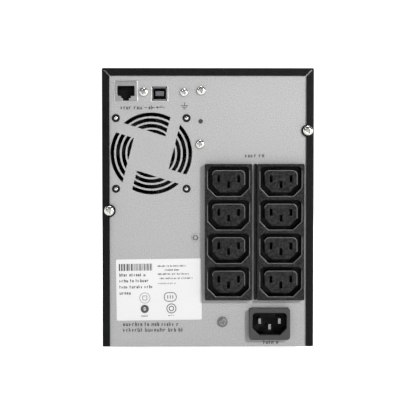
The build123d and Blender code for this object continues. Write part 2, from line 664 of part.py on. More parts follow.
def core_bolt_places():
    """Centres of the four bolts through the laminations, x and z."""
    middle_z = Z_FLOOR + SHEET + EI_HEIGHT / 2
    return [(CORE_X + sx * (EI_WIDTH / 2 - 9.5), middle_z + sz * (EI_HEIGHT / 2 - 9.5))
            for sx in (-1, 1) for sz in (-1, 1)]


def transformer_coil():
    """Winding block round the middle leg."""
    middle_z = Z_FLOOR + SHEET + EI_HEIGHT / 2
    half_x = EI_LEG / 2 + EI_LEG / 2 - 0.6
    half_y = EI_STACK / 2 + COIL_OVERHANG
    coil = block(CORE_X - half_x, CORE_X + half_x, CORE_Y - half_y, CORE_Y + half_y,
                 middle_z - 28.0, middle_z + 28.0)
    coil = fillet(coil.edges().filter_by(Axis.Z), 12.0)
    return coil - block(CORE_X - EI_LEG / 2, CORE_X + EI_LEG / 2, CORE_Y - EI_STACK / 2,
                        CORE_Y + EI_STACK / 2, middle_z - 40, middle_z + 40)


def transformer_bracket():
    """Strap over the laminations with two feet on the floor."""
    half_x = EI_WIDTH / 2
    top = Z_FLOOR + SHEET + EI_HEIGHT
    y0, y1 = CORE_Y - 22, CORE_Y + 22
    strap = block(CORE_X - half_x - SHEET, CORE_X + half_x + SHEET, y0, y1, Z_FLOOR, top + SHEET)
    strap -= block(CORE_X - half_x, CORE_X + half_x, y0 - 1, y1 + 1, Z_FLOOR + SHEET, top)
    strap += block(CORE_X + half_x, CORE_X + half_x + 14, y0, y1, Z_FLOOR, Z_FLOOR + SHEET)
    return strap


def transformer_bolts():
    """Through bolts with a head and a nut each."""
    bolts = []
    for x, z in core_bolt_places():
        shaft = Cylinder(2.0, EI_STACK + 12)
        head = Pos(0, 0, EI_STACK / 2) * extrude(RegularPolygon(3.5, 6, major_radius=False), amount=3.0)
        nut = Pos(0, 0, -EI_STACK / 2 - 3) * extrude(RegularPolygon(3.5, 6, major_radius=False), amount=3.0)
        bolts.append(place_rear(shaft + head + nut, x, z, CORE_Y))
    return bolts


def main_board():
    """Circuit board that stands on the spacers beside the divider."""
    x0 = DIVIDER_X + SHEET + 4.0
    return block(x0, x0 + BOARD_THICK, -160, 34, 24, 194)


def board_standoffs():
    """Spacers between the divider and the main board."""
    pieces = []
    x0 = DIVIDER_X + SHEET
    for y, z in ((-152, 32), (-152, 186), (-63, 32), (26, 32), (26, 186)):
        spacer = Pos(0, 0, 2.0) * Cylinder(3.0, 4.0)
        pieces.append(Location((x0, y, z), (0, 90, 0)) * spacer)
    return pieces


def heat_sinks():
    """Extruded fins standing on the main board."""
    pieces = []
    x0 = DIVIDER_X + SHEET + 4.0 + BOARD_THICK
    for y in (-120, -60):
        plate = block(x0, x0 + 24, y, y + 3, 60, 160)
        for index in range(6):
            fin_z = 66 + index * 17.0
            plate += block(x0 + 2, x0 + 24, y + 3, y + 18, fin_z, fin_z + 2)
        pieces.append(plate)
    return pieces


def power_transistors():
    """Two rows of switching transistors on the heat sinks."""
    pieces = []
    x0 = DIVIDER_X + SHEET + 4.0 + BOARD_THICK
    for y in (-120, -60):
        for index in range(4):
            z = 68 + index * 24
            pieces.append(block(x0 + 5, x0 + 20, y - 4.5, y, z, z + 10))
    return pieces


def capacitors():
    """Electrolytic capacitors on the main board."""
    pieces = []
    x0 = DIVIDER_X + SHEET + 4.0 + BOARD_THICK
    cans = [(-5, z, 11, 24) for z in (60, 86, 112)] + [(-140, z, 8, 22) for z in (60, 80)]
    for y, z, radius, height in cans:
        can = Pos(0, 0, height / 2) * Cylinder(radius, height)
        can = fillet(can.edges().sort_by(Axis.Z)[-1:], 1.2)
        pieces.append(Location((x0, y, z), (0, 90, 0)) * can)
    return pieces


def relays():
    """Four changeover relays on the main board."""
    x0 = DIVIDER_X + SHEET + 4.0 + BOARD_THICK
    return [block(x0, x0 + 20, 6, 26, z, z + 15) for z in (40, 60, 80, 100)]


def emi_choke():
    """Wound ring on the main board."""
    x0 = DIVIDER_X + SHEET + 4.0 + BOARD_THICK
    ring = Torus(9.0, 5.0)
    return Location((x0 + 5.0, -6, 152), (0, 90, 0)) * ring


def floor_gusset():
    """Angle that ties the foot of the panel to the floor."""
    x, z = above_base(BASE_SCREW)
    gusset = block(x - 6, x + 6, Y_PANEL_IN - 14, Y_PANEL_IN, Z_FLOOR, Z_FLOOR + SHEET)
    gusset += block(x - 6, x + 6, Y_PANEL_IN - SHEET, Y_PANEL_IN, Z_FLOOR, z + 7)
    return gusset - place_rear(Cylinder(SCREW_HOLE, 8), x, z, Y_PANEL_IN)


def rear_brace():
    """Angle screwed to the panel beside the fan; it carries the filter board."""
    x = (PANEL_SCREWS[1][0] + PANEL_SCREWS[2][0]) / 2
    z0 = Z_BASE + 139
    z1 = Z_BASE + 188
    brace = block(x - 5, x + 3, Y_PANEL_IN - SHEET, Y_PANEL_IN, z0, z1)
    brace += block(x - 5, x - 5 + SHEET, 150, Y_PANEL_IN, z0, z1)
    for point in (PANEL_SCREWS[1], PANEL_SCREWS[2], SMALL_RIVET):
        brace -= place_rear(Cylinder(SCREW_HOLE, 8), *above_base(point), Y_PANEL_IN)
    return brace


def filter_board():
    """Mains filter board with its two film capacitors, fixed to the brace."""
    x = (PANEL_SCREWS[1][0] + PANEL_SCREWS[2][0]) / 2 - 5
    board = block(x - 5.6, x - 4.0, 125, 190, Z_BASE + 142, Z_BASE + 186)
    spacers = [block(x - 4.0, x, 154, 160, z, z + 6) for z in (Z_BASE + 145, Z_BASE + 177)]
    parts = [block(x - 20.6, x - 5.6, 132, 158, z, z + 11) for z in (Z_BASE + 150, Z_BASE + 168)]
    return [board] + spacers + parts


# ---- battery drawer -------------------------------------------------------
def drawer_tray():
    """Folded tray: bottom, two low sides and a back wall."""
    x0, x1 = TRAY_X
    y0 = Y_DOOR + SHEET
    z1 = TRAY_Z + 26
    tray = block(x0, x1, y0, TRAY_BACK_Y, TRAY_Z, TRAY_Z + TRAY_SHEET)
    tray += block(x0, x0 + TRAY_SHEET, y0, TRAY_BACK_Y, TRAY_Z, z1)
    tray += block(x1 - TRAY_SHEET, x1, y0, TRAY_BACK_Y, TRAY_Z, z1)
    tray += block(x0, x1, TRAY_BACK_Y - TRAY_SHEET, TRAY_BACK_Y, TRAY_Z, TRAY_Z + 80)
    cut = block(PLUG_X - 16, PLUG_X + 16, TRAY_BACK_Y - 4, TRAY_BACK_Y + 4, PLUG_Z - 8, PLUG_Z + 8)
    return tray - cut


def drawer_door():
    """Steel front of the drawer, lapping the bulkhead all round."""
    door = block(*DOOR_X, Y_DOOR, Y_DOOR + SHEET, *DOOR_Z)
    door = fillet(door.edges().filter_by(Axis.Y), 2.0)
    holes = [place_rear(Cylinder(2.0, 10), x, z, Y_DOOR) for x, z in DOOR_SCREWS]
    return door - holes


def drawer_screws():
    """Captive thumb screws with knurled heads."""
    screws = []
    for x, z in DOOR_SCREWS:
        head = Pos(0, 0, 2.75) * Cylinder(3.6, 5.5)
        head = chamfer(head.edges().sort_by(Axis.Z)[-1:], 0.5)
        head -= Pos(0, 0, 5.5) * Box(7.8, 1.0, 2.0)
        grooves = [Rot(0, 0, 22.5 * index) * Pos(3.6, 0, 2.9) * Box(0.5, 0.5, 4.2) for index in range(16)]
        shank = Pos(0, 0, -3.0) * Cylinder(2.0, 6.0)
        screws.append(front_plane(x, z, Y_DOOR).location * (head - grooves + shank))
    return screws


def drawer_pull():
    """Bow handle in the middle of the drawer front."""
    x = (DOOR_X[0] + DOOR_X[1]) / 2
    z = (DOOR_Z[0] + DOOR_Z[1]) / 2
    half = PULL_SPAN / 2
    bow = block(x - half, x + half, Y_DOOR - 12, Y_DOOR, z - 6, z + 6)
    bow = fillet(bow.edges().filter_by(Axis.Z).sort_by(Axis.Y)[:2], 5.0)
    hollow = block(x - half + 6, x + half - 6, Y_DOOR - 8.5, Y_DOOR + 1, z - 7, z + 7)
    hollow = fillet(hollow.edges().filter_by(Axis.Z).sort_by(Axis.Y)[:2], 3.0)
    return bow - hollow


def battery_y(index):
    """Front face of one battery, counted from the front."""
    return BATTERY_FIRST_Y + index * (BATTERY_DEPTH + 1.0)


def battery(index):
    """Sealed lead-acid block standing on end, with a raised lid on its terminal side."""
    y0 = battery_y(index)
    z0 = TRAY_Z + TRAY_SHEET
    case = block(BATTERY_X0, BATTERY_X0 + BATTERY_WIDTH, y0, y0 + BATTERY_DEPTH, z0, z0 + BATTERY_HEIGHT)
    case = fillet(case.edges().filter_by(Axis.X), 1.5)
    x1 = BATTERY_X0 + BATTERY_WIDTH
    step = block(x1 - 4, x1 + 1, y0 - 1, y0 + 14, z0 - 1, z0 + 24)
    step += block(x1 - 4, x1 + 1, y0 - 1, y0 + 14, z0 + BATTERY_HEIGHT - 24, z0 + BATTERY_HEIGHT + 1)
    return case - step


def terminal_places():
    """One low and one high tab on each battery."""
    z0 = TRAY_Z + TRAY_SHEET
    return [(battery_y(index) + 7, z) for index in range(BATTERY_COUNT)
            for z in (z0 + 12, z0 + BATTERY_HEIGHT - 12)]


def battery_terminals():
    """Two blade tabs on each battery."""
    x1 = BATTERY_X0 + BATTERY_WIDTH - 4
    return [block(x1, x1 + 7, y - 0.4, y + 0.4, z - 3.2, z + 3.2) for y, z in terminal_places()]


def battery_links():
    """Series links: the high tab of one block to the low tab of the next."""
    x = BATTERY_X0 + BATTERY_WIDTH + 3.2
    tabs = terminal_places()
    links = []
    for index in range(BATTERY_COUNT - 1):
        y0, z0 = tabs[2 * index + 1]
        y1, z1 = tabs[2 * index + 2]
        upper = [(x, y0 + 1.4, z0 - 3), (x, y0 + 1.4, z0 - 30)]
        lower = [(x, y1 + 1.4, z1 + 30), (x, y1 + 1.4, z1 + 3)]
        route = upper + lower
        path = FilletPolyline(*route, radius=12)
        section = Plane(origin=route[0], z_dir=(0, 0, -1)) * Circle(1.0)
        wire = sweep(section, path)
        shoes = [block(x - 2.4, x + 1.2, y + 0.4, y + 2.8, z - 3.0, z + 3.0)
                 for y, z in ((y0, z0), (y1, z1))]
        links.append(wire + shoes)
    return links


def drawer_plug():
    """Blind-mating battery connector on the back of the drawer."""
    body = block(PLUG_X - 16, PLUG_X + 16, TRAY_BACK_Y - 1.0, TRAY_BACK_Y + 12, PLUG_Z - 8, PLUG_Z + 8)
    slots = [block(x - 2, x + 2, TRAY_BACK_Y + 2, TRAY_BACK_Y + 13, PLUG_Z - 5, PLUG_Z + 5)
             for x in (PLUG_X - 8, PLUG_X + 8)]
    return body - slots


def bay_socket():
    """Fixed half of the battery connector, and its two blades."""
    y0 = TRAY_BACK_Y + 12 + GAP
    body = block(PLUG_X - 18, PLUG_X + 18, y0, DIVIDER_END_Y + 8, PLUG_Z - 10, PLUG_Z + 10)
    blades = [block(x - 0.8, x + 0.8, y0 - 8, y0, PLUG_Z - 4, PLUG_Z + 4) for x in (PLUG_X - 8, PLUG_X + 8)]
    return [body] + blades


# ---- front ----------------------------------------------------------------
def head_post_places():
    """Screw posts in the head of the bezel, x and z."""
    return [(-69.5, 190), (50.5, 200.5)]


def ring_post_places():
    """Screw posts in the lower ring of the bezel, x and z."""
    return [(62.5, 30), (62.5, 120)]


def bezel_screw_places():
    """All the screws that hold the bezel to the front frame."""
    return head_post_places() + ring_post_places()


def post(x, z, radius, y0, y1):
    """Screw post that runs back from y0 to y1."""
    return place_rear(Cylinder(radius, y1 - y0), x, z, (y0 + y1) / 2)


def front_bezel():
    """Moulded front: display head above, open ring round the drawer below."""
    w = BEZEL_HALF_WIDTH
    body = block(-w, w, Y_FASCIA, Y_BEZEL_BACK, *BEZEL_Z)
    body = fillet(body.edges().filter_by(Axis.Y).sort_by(Axis.Z)[-2:], 5.0)
    front_edges = body.faces().sort_by(Axis.Y)[0].edges()
    body = fillet([e for e in front_edges if e.center().Z > Z_SPLIT], 2.0)
    body -= block(-w - 1, w + 1, Y_FASCIA - 1, Y_SPLIT, BEZEL_Z[0] - 1, Z_SPLIT)
    body -= block(-w + BEZEL_WALL, w - BEZEL_WALL, Y_FASCIA + BEZEL_WALL, Y_BEZEL_BACK + 1,
                  Z_SPLIT + BEZEL_WALL, BEZEL_Z[1] - BEZEL_WALL)
    body -= block(*BEZEL_OPEN_X, Y_SPLIT - 1, Y_BEZEL_BACK + 1, *BEZEL_OPEN_Z)
    body -= block(BEZEL_OPEN_X[1] + BEZEL_WALL, w - BEZEL_WALL, Y_SPLIT + BEZEL_WALL, Y_BEZEL_BACK + 1,
                  *BEZEL_OPEN_Z)
    posts = [post(x, z, 3.5, Y_FASCIA + 2, Y_BEZEL_BACK) for x, z in head_post_places()]
    posts += [post(x, z, 3.5, Y_SPLIT + 2, Y_BEZEL_BACK) for x, z in ring_post_places()]
    posts += [post(x, z, 2.5, Y_FASCIA + 2, BOARD_Y) for x, z in BOARD_POSTS]
    body += posts
    cuts = [place_rear(Cylinder(1.3, 17), x, z, Y_BEZEL_BACK) for x, z in bezel_screw_places()]
    cuts.append(block(WINDOW_X - WINDOW_WIDTH / 2, WINDOW_X + WINDOW_WIDTH / 2,
                      Y_FASCIA - 1, Y_FASCIA + BEZEL_WALL + 0.5,
                      WINDOW_Z - WINDOW_HEIGHT / 2, WINDOW_Z + WINDOW_HEIGHT / 2))
    grow = 2 * BUTTON_GAP
    for x, z in button_places()[:-1]:
        hole = RectangleRounded(KEY_WIDTH + grow, KEY_HEIGHT + grow, 1.5)
        cuts.append(extrude(front_plane(x, z, Y_FASCIA - 1) * hole, amount=-(BEZEL_WALL + 1.5)))
    cuts.append(place_rear(Cylinder(POWER_RADIUS + BUTTON_GAP, 12), POWER_X, POWER_Z, Y_FASCIA))
    return body - cuts


def bezel_screws():
    """Screws driven from inside the bulkhead into the bezel's posts."""
    return [place_rear(pan_screw(2.8, 1.8, 1.3, 8.0), x, z, Y_FRAME_IN) for x, z in bezel_screw_places()]


def display_window():
    """Clear lens that fills the bezel's opening, slightly crowned."""
    lens = block(WINDOW_X - WINDOW_WIDTH / 2, WINDOW_X + WINDOW_WIDTH / 2, Y_FASCIA - 0.4,
                 Y_FASCIA + BEZEL_WALL, WINDOW_Z - WINDOW_HEIGHT / 2, WINDOW_Z + WINDOW_HEIGHT / 2)
    return chamfer(lens.faces().sort_by(Axis.Y)[0].edges(), 0.35)


def lcd_module():
    """Display carrier and the glass in its shallow tray."""
    x0 = WINDOW_X - WINDOW_WIDTH / 2 + 1
    x1 = WINDOW_X + WINDOW_WIDTH / 2 - 1
    z0 = WINDOW_Z - WINDOW_HEIGHT / 2 + 0.5
    z1 = WINDOW_Z + WINDOW_HEIGHT / 2 - 0.5
    y0 = Y_FASCIA + BEZEL_WALL + 0.5
    frame = block(x0, x1, y0, BOARD_Y - 2, z0, z1)
    frame -= block(x0 + 4, x1 - 4, y0 - 1, y0 + 2, z0 + 3, z1 - 3)
    glass = block(x0 + 4, x1 - 4, y0 + 0.7, y0 + 2, z0 + 3, z1 - 3)
    return [frame, glass]


def display_board():
    """Board behind the display, notched round a bezel post."""
    board = block(*BOARD_X, BOARD_Y, BOARD_Y + BOARD_THICK, 177, 203)
    x, z = head_post_places()[1]
    return board - block(x - 4.5, x + 4.5, BOARD_Y - 1, BOARD_Y + 3, z - 4.5, 204)


def button_places():
    """The three keys, then the power button."""
    return [key[1:] for key in KEYS] + [(POWER_X, POWER_Z)]


def tact_switches():
    """Dome switches on the display board, one behind each button."""
    pieces = []
    for x, z in button_places():
        base = block(x - 3, x + 3, BOARD_Y - SWITCH_HEIGHT + 1.0, BOARD_Y, z - 3, z + 3)
        tip = place_rear(Cylinder(1.6, 1.2), x, z, BOARD_Y - SWITCH_HEIGHT + 0.6)
        pieces.append(base + tip)
    return pieces


def button(outline, lip):
    """Button cap, retaining lip and stem, pressed along its own -Z."""
    cap = extrude(outline, amount=5.0)
    cap = fillet(cap.faces().sort_by(Axis.Z)[-1].edges(), 0.6)
    back = extrude(lip, amount=-1.2)
    stem_length = HALF_DEPTH + BOARD_Y - SWITCH_HEIGHT - 5.0 - BUTTON_TRAVEL - GAP
    stem = Pos(0, 0, -stem_length / 2) * Cylinder(1.5, stem_length)
    return cap + back + stem


def front_buttons():
    """Three menu keys and the round power button; each cap stands 1 mm proud."""
    made = {}
    y = -HALF_DEPTH + 5.0
    for name, x, z in KEYS:
        cap = RectangleRounded(KEY_WIDTH, KEY_HEIGHT, 1.2)
        lip = Rectangle(KEY_WIDTH + 2.4, KEY_HEIGHT + 2.4)
        made[name] = front_plane(x, z, y).location * button(cap, lip)
    cap = Circle(POWER_RADIUS)
    lip = Circle(POWER_RADIUS + 1.4)
    made["power_button"] = front_plane(POWER_X, POWER_Z, y).location * button(cap, lip)
    return made


def battery_cover():
    """Pull-off front panel with louvres, a finger scoop and four locating tabs."""
    w = BEZEL_HALF_WIDTH
    z0 = BEZEL_Z[0]
    z1 = Z_SPLIT - GAP
    y1 = Y_SPLIT - GAP
    panel = block(-w, w, Y_FASCIA, y1, z0, z1)
    front = panel.faces().sort_by(Axis.Y)[0]
    panel = fillet([e for e in front.edges() if e.center().Z < z1 - 1], 2.0)
    panel -= block(-w + 2.5, w - 2.5, Y_FASCIA + 2.5, y1 + 1, z0 + 2.5, z1 - 2.5)
    scoop = Pos(0, Y_FASCIA - 6, z1 + 2) * Rot(0, 90, 0) * Cylinder(12.0, 56.0)
    backing = Pos(0, Y_FASCIA - 6, z1 + 2) * Rot(0, 90, 0) * Cylinder(14.2, 60.0)
    backing &= block(-30, 30, Y_FASCIA + 1, y1, z1 - 18, z1)
    panel = panel + backing - scoop
    for row in range(LOUVRE_ROWS):
        z = LOUVRE_FIRST_Z + row * LOUVRE_PITCH
        panel -= block(-LOUVRE_REACH, LOUVRE_REACH, Y_FASCIA - 1, Y_FASCIA + 4, z, z + LOUVRE_HEIGHT)
    for x0 in (BEZEL_OPEN_X[0] + 0.4, BEZEL_OPEN_X[1] - 2.9):
        for z in (24, 96):
            panel += block(x0, x0 + 2.5, Y_FASCIA + 2.0, y1 + 5, z, z + 12)
    return panel


os.makedirs("parts", exist_ok=True)

write("chassis_base", chassis_base())
write("top_cover", top_cover())
write("front_frame", front_frame())
write("bay_divider", bay_divider())
write("drawer_rails", drawer_rails())
write("feet", feet())
write("cover_screws", cover_screws())
write("panel_screws", panel_screws())
write("ground_screw", ground_screw())
write("base_screw", base_screw())
write("panel_rivets", panel_rivets())
write("rating_label", rating_label())

for number, strip_x in enumerate(STRIP_X, start=1):
    write("outlet_strip_" + str(number), outlet_strip(strip_x))
write("outlet_contacts", outlet_contacts())
write("inlet_housing", inlet_housing())
write("inlet_pins", inlet_pins())
write("rj45_shield", rj45_shield())
write("rj45_insert", rj45_insert())
write("rj45_contacts", rj45_contacts())
write("usb_shell", usb_shell())
write("usb_insert", usb_insert())
write("comms_board", comms_board())
write("panel_brackets", [port_bracket(), rear_brace(), floor_gusset()])

write("fan_frame", fan_frame())
write("fan_stator", fan_stator())
write("fan_rotor", fan_rotor())
fan_inserts, fan_pins = fan_fixings()
write("fan_inserts", fan_inserts)
write("fan_pins", fan_pins)

write("transformer_core", transformer_core())
write("transformer_coil", transformer_coil())
write("transformer_bracket", transformer_bracket())
write("transformer_bolts", transformer_bolts())
write("main_board", main_board())
write("board_standoffs", board_standoffs())
write("heat_sinks", heat_sinks())
write("power_transistors", power_transistors())
write("capacitors", capacitors())
write("relays", relays())
write("emi_choke", emi_choke())
write("filter_board", filter_board())

write("drawer_tray", drawer_tray())
write("drawer_door", drawer_door())
write("drawer_screws", drawer_screws())
write("drawer_pull", drawer_pull())
write("batteries", [battery(index) for index in range(BATTERY_COUNT)])
write("battery_terminals", battery_terminals())
write("battery_links", battery_links())
write("drawer_plug", drawer_plug())
write("bay_socket", bay_socket())

write("front_bezel", front_bezel())
write("bezel_screws", bezel_screws())
write("display_window", display_window())
write("lcd_module", lcd_module())
write("display_board", [display_board()] + tact_switches())
for name, solid in front_buttons().items():
    write(name, solid)
write("battery_cover", battery_cover())
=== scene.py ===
import json
import math
import random

import bmesh
import bpy
from mathutils import Matrix, Vector

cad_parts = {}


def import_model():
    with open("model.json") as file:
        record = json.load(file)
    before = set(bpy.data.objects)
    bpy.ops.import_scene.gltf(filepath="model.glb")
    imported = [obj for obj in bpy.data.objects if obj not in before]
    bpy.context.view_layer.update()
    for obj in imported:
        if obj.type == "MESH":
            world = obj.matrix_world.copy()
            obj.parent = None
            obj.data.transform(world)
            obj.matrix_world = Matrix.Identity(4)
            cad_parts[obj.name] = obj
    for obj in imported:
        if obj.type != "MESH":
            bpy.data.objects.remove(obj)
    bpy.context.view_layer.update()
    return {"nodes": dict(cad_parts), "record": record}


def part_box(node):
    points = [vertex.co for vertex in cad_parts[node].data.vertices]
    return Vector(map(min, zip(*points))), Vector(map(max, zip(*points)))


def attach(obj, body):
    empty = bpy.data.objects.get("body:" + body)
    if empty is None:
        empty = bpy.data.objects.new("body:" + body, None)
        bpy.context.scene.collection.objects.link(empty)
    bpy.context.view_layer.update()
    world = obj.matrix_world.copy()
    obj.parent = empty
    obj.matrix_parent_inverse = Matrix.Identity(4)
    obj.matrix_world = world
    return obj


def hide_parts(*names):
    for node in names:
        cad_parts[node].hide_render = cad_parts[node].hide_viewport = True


# Looks of a tower backup power supply. Metres, +Z up; the socket panel faces +Y, the display faces -Y.

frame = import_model()

MM = 0.001
CHASSIS_BOTTOM = 8.0 * MM
PANEL_Y = 199.5 * MM
OUTLET_FACE_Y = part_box("outlet_strip_1")[1].y
INLET_FACE_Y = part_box("inlet_housing")[1].y
FLANGE_Y = PANEL_Y + 1.2 * MM
FASCIA_Y = -204.0 * MM

# IEC 60320 couplers: outlines are rounded above and chamfered below
RECESS = (29.7 * MM, 21.2 * MM, 3.6 * MM, 6.0 * MM)
CORE = (22.8 * MM, 15.4 * MM, 3.0 * MM, 5.2 * MM)
INLET_OPENING = (24.2 * MM, 15.7 * MM, 2.5 * MM, 4.8 * MM)
OUTLET_PITCH = 23.67 * MM
OUTLET_ROWS = 4
OUTLET_LIFT = 0.35 * MM
RECESS_DEPTH = 17.0 * MM
INLET_DEPTH = 16.0 * MM
PIN_SPACING = 7.0 * MM
PIN_LIFT = 1.9 * MM
EARTH_DROP = 4.1 * MM
SLOT = (1.9 * MM, 4.7 * MM)
PIN = (2.0 * MM, 4.0 * MM)

# fasteners on the socket panel: x, z, turn of the recess in degrees
COVER_SCREWS = [(69.9 * MM, 105.1 * MM, 20), (-70.7 * MM, 161.8 * MM, 35)]
PANEL_SCREWS = [(45.4 * MM, 189.0 * MM, 50), (4.9 * MM, 190.0 * MM, 15), (5.6 * MM, 152.2 * MM, 70)]
GROUND_SCREW = (16.9 * MM, 188.7 * MM, 30)
BASE_SCREW = (-10.3 * MM, 25.9 * MM, 22)
RIVETS = [(5.15 * MM, 168.4 * MM, 1.6 * MM, 1.1 * MM), (8.9 * MM, 85.9 * MM, 3.2 * MM, 1.9 * MM)]
FAN_HOLE_SPACING = 50.0 * MM
BATTERY_COUNT = 3


# ---- materials ------------------------------------------------------------
class Finish:
    """One procedural material, built up from colour, roughness and relief layers."""

    def __init__(self, name, color, roughness, metallic=0.0):
        self.material = bpy.data.materials.new(name)
        self.material.use_nodes = True
        self.tree = self.material.node_tree
        self.shader = self.tree.nodes["Principled BSDF"]
        self.shader.inputs["Base Color"].default_value = (*color, 1.0)
        self.shader.inputs["Roughness"].default_value = roughness
        self.shader.inputs["Metallic"].default_value = metallic
        self.place = self.tree.nodes.new("ShaderNodeTexCoord").outputs["Object"]
        self.relief = None

    def mapped(self, stretch=(1, 1, 1)):
        """Object coordinates, stretched."""
        node = self.tree.nodes.new("ShaderNodeMapping")
        node.inputs["Scale"].default_value = stretch
        self.tree.links.new(self.place, node.inputs["Vector"])
        return node.outputs["Vector"]

    def noise(self, size, detail=2.0, stretch=(1, 1, 1), distortion=0.0):
        """Soft noise whose features are about size metres across."""
        node = self.tree.nodes.new("ShaderNodeTexNoise")
        node.inputs["Scale"].default_value = 1.0 / size
        node.inputs["Detail"].default_value = detail
        node.inputs["Distortion"].default_value = distortion
        self.tree.links.new(self.mapped(stretch), node.inputs["Vector"])
        return node.outputs["Fac"]

    def cells(self, size, stretch=(1, 1, 1), output="Distance"):
        """Cell pattern whose cells are about size metres across."""
        node = self.tree.nodes.new("ShaderNodeTexVoronoi")
        node.inputs["Scale"].default_value = 1.0 / size
        self.tree.links.new(self.mapped(stretch), node.inputs["Vector"])
        return node.outputs[output]

    def ramp(self, value, low, high, low_at=0.3, high_at=0.7):
        """Colour or grey between low and high, as value goes from low_at to high_at."""
        node = self.tree.nodes.new("ShaderNodeValToRGB")
        first, last = node.color_ramp.elements
        first.position = low_at
        last.position = high_at
        first.color = (*low, 1.0)
        last.color = (*high, 1.0)
        self.tree.links.new(value, node.inputs["Fac"])
        return node.outputs["Color"]

    def blend(self, factor, first, second, mode="MIX"):
        """Two colours mixed by factor."""
        node = self.tree.nodes.new("ShaderNodeMix")
        node.data_type = "RGBA"
        node.blend_type = mode
        node.inputs["Factor"].default_value = factor
        self.tree.links.new(first, node.inputs["A"])
        self.tree.links.new(second, node.inputs["B"])
        return node.outputs["Result"]

    def color(self, source):
        """Take the base colour from source."""
        self.tree.links.new(source, self.shader.inputs["Base Color"])
        return self

    def roughness(self, value, low, high):
        """Vary the roughness from low to high with value."""
        source = self.ramp(value, (low,) * 3, (high,) * 3)
        self.tree.links.new(source, self.shader.inputs["Roughness"])
        return self

    def bump(self, value, height, strength=1.0):
        """Raise the surface by up to height metres, over any relief already there."""
        node = self.tree.nodes.new("ShaderNodeBump")
        node.inputs["Distance"].default_value = height
        node.inputs["Strength"].default_value = strength
        self.tree.links.new(value, node.inputs["Height"])
        if self.relief is not None:
            self.tree.links.new(self.relief, node.inputs["Normal"])
        self.relief = node.outputs["Normal"]
        self.tree.links.new(self.relief, self.shader.inputs["Normal"])
        return self

    def set(self, **values):
        """Uniform shader values, by socket name with underscores for spaces."""
        for name, value in values.items():
            self.shader.inputs[name.replace("_", " ")].default_value = value
        return self


def grey(value):
    """Neutral colour."""
    return (value, value, value)


def scaled(color, factor):
    """Colour made lighter or darker."""
    return tuple(channel * factor for channel in color)


def powder_coat():
    """Semi-matt black powder coat: fine grains over a slow orange peel."""
    finish = Finish("powder_coat", grey(0.003), 0.5)
    grains = finish.noise(0.5 * MM, detail=3)
    finish.color(finish.ramp(grains, (0.0006, 0.0006, 0.0007), (0.0062, 0.0062, 0.0066), 0.38, 0.64))
    finish.set(Specular_IOR_Level=0.07)
    finish.roughness(finish.noise(6 * MM, detail=4), 0.42, 0.56)
    finish.bump(finish.noise(3 * MM), 0.05 * MM, 0.6)
    finish.bump(finish.cells(0.42 * MM), 0.035 * MM, 0.7)
    return finish.material


def fleck_paint():
    """Satin grey paint with a fine light and dark fleck."""
    finish = Finish("fleck_paint", grey(0.42), 0.45)
    grain = finish.noise(0.7 * MM, detail=3)
    base = finish.ramp(grain, (0.200, 0.203, 0.201), (0.284, 0.287, 0.285), 0.36, 0.64)
    slow = finish.ramp(finish.noise(45 * MM), grey(0.965), grey(1.0), 0.3, 0.7)
    dark = finish.ramp(finish.cells(0.9 * MM), grey(0.84), grey(1.0), 0.10, 0.24)
    light = finish.ramp(finish.cells(1.2 * MM, stretch=(1.1, 1, 0.93)), grey(1.11), grey(1.0), 0.06, 0.16)
    mixed = finish.blend(1.0, base, slow, "MULTIPLY")
    mixed = finish.blend(1.0, mixed, dark, "MULTIPLY")
    finish.color(finish.blend(1.0, mixed, light, "MULTIPLY"))
    finish.roughness(finish.noise(2.2 * MM, detail=3), 0.38, 0.52)
    finish.bump(finish.noise(0.8 * MM, detail=3), 0.02 * MM, 0.6)
    return finish.material


def eroded_plastic(name, low, high, roughness=(0.42, 0.56), grain=0.35 * MM, relief=0.03 * MM,
                   specular=0.35):
    """Moulded plastic with a spark-eroded grain."""
    finish = Finish(name, low, roughness[0])
    finish.set(Specular_IOR_Level=specular)
    finish.color(finish.ramp(finish.noise(grain * 2, detail=3), low, high, 0.35, 0.65))
    finish.roughness(finish.noise(5 * MM, detail=3), *roughness)
    finish.bump(finish.cells(grain), relief, 0.7)
    finish.bump(finish.noise(grain * 0.6, detail=2), relief * 0.5, 0.5)
    return finish.material


def outlet_plastic():
    """Black moulding with a coarse mottled grain; the light lines along its rims are lighter beads of
    painted highlight.
    """
    finish = Finish("outlet_moulding", grey(0.004), 0.34)
    finish.set(Specular_IOR_Level=0.14)
    mottle = finish.ramp(finish.noise(1.1 * MM, detail=3), grey(0.0006), grey(0.018), 0.40, 0.64)
    finish.color(mottle)
    finish.roughness(finish.noise(1.6 * MM, detail=3), 0.26, 0.42)
    finish.bump(finish.noise(0.9 * MM, detail=3), 0.03 * MM, 0.5)
    return finish.material


def gloss_plastic(name, color, roughness=0.22):
    """Smooth moulding with faint flow marks."""
    finish = Finish(name, color, roughness)
    marks = finish.noise(4 * MM, detail=2, distortion=0.6)
    finish.color(finish.ramp(marks, scaled(color, 0.88), scaled(color, 1.1)))
    finish.roughness(finish.noise(9 * MM, detail=3), roughness * 0.8, roughness * 1.35)
    finish.bump(finish.noise(2.4 * MM), 0.012 * MM, 0.5)
    return finish.material


def plated(name, color, roughness, scratch=0.25):
    """Bright plating with fine turned scratches and faint clouding."""
    finish = Finish(name, color, roughness, metallic=1.0)
    clouds = finish.noise(1.8 * MM, detail=4)
    finish.color(finish.ramp(clouds, scaled(color, 0.86), color, 0.3, 0.65))
    lines = finish.noise(0.25 * MM, detail=3, stretch=(1, 1, 6))
    finish.roughness(lines, roughness * 0.75, roughness * 1.45)
    finish.bump(lines, 0.004 * MM, scratch)
    return finish.material


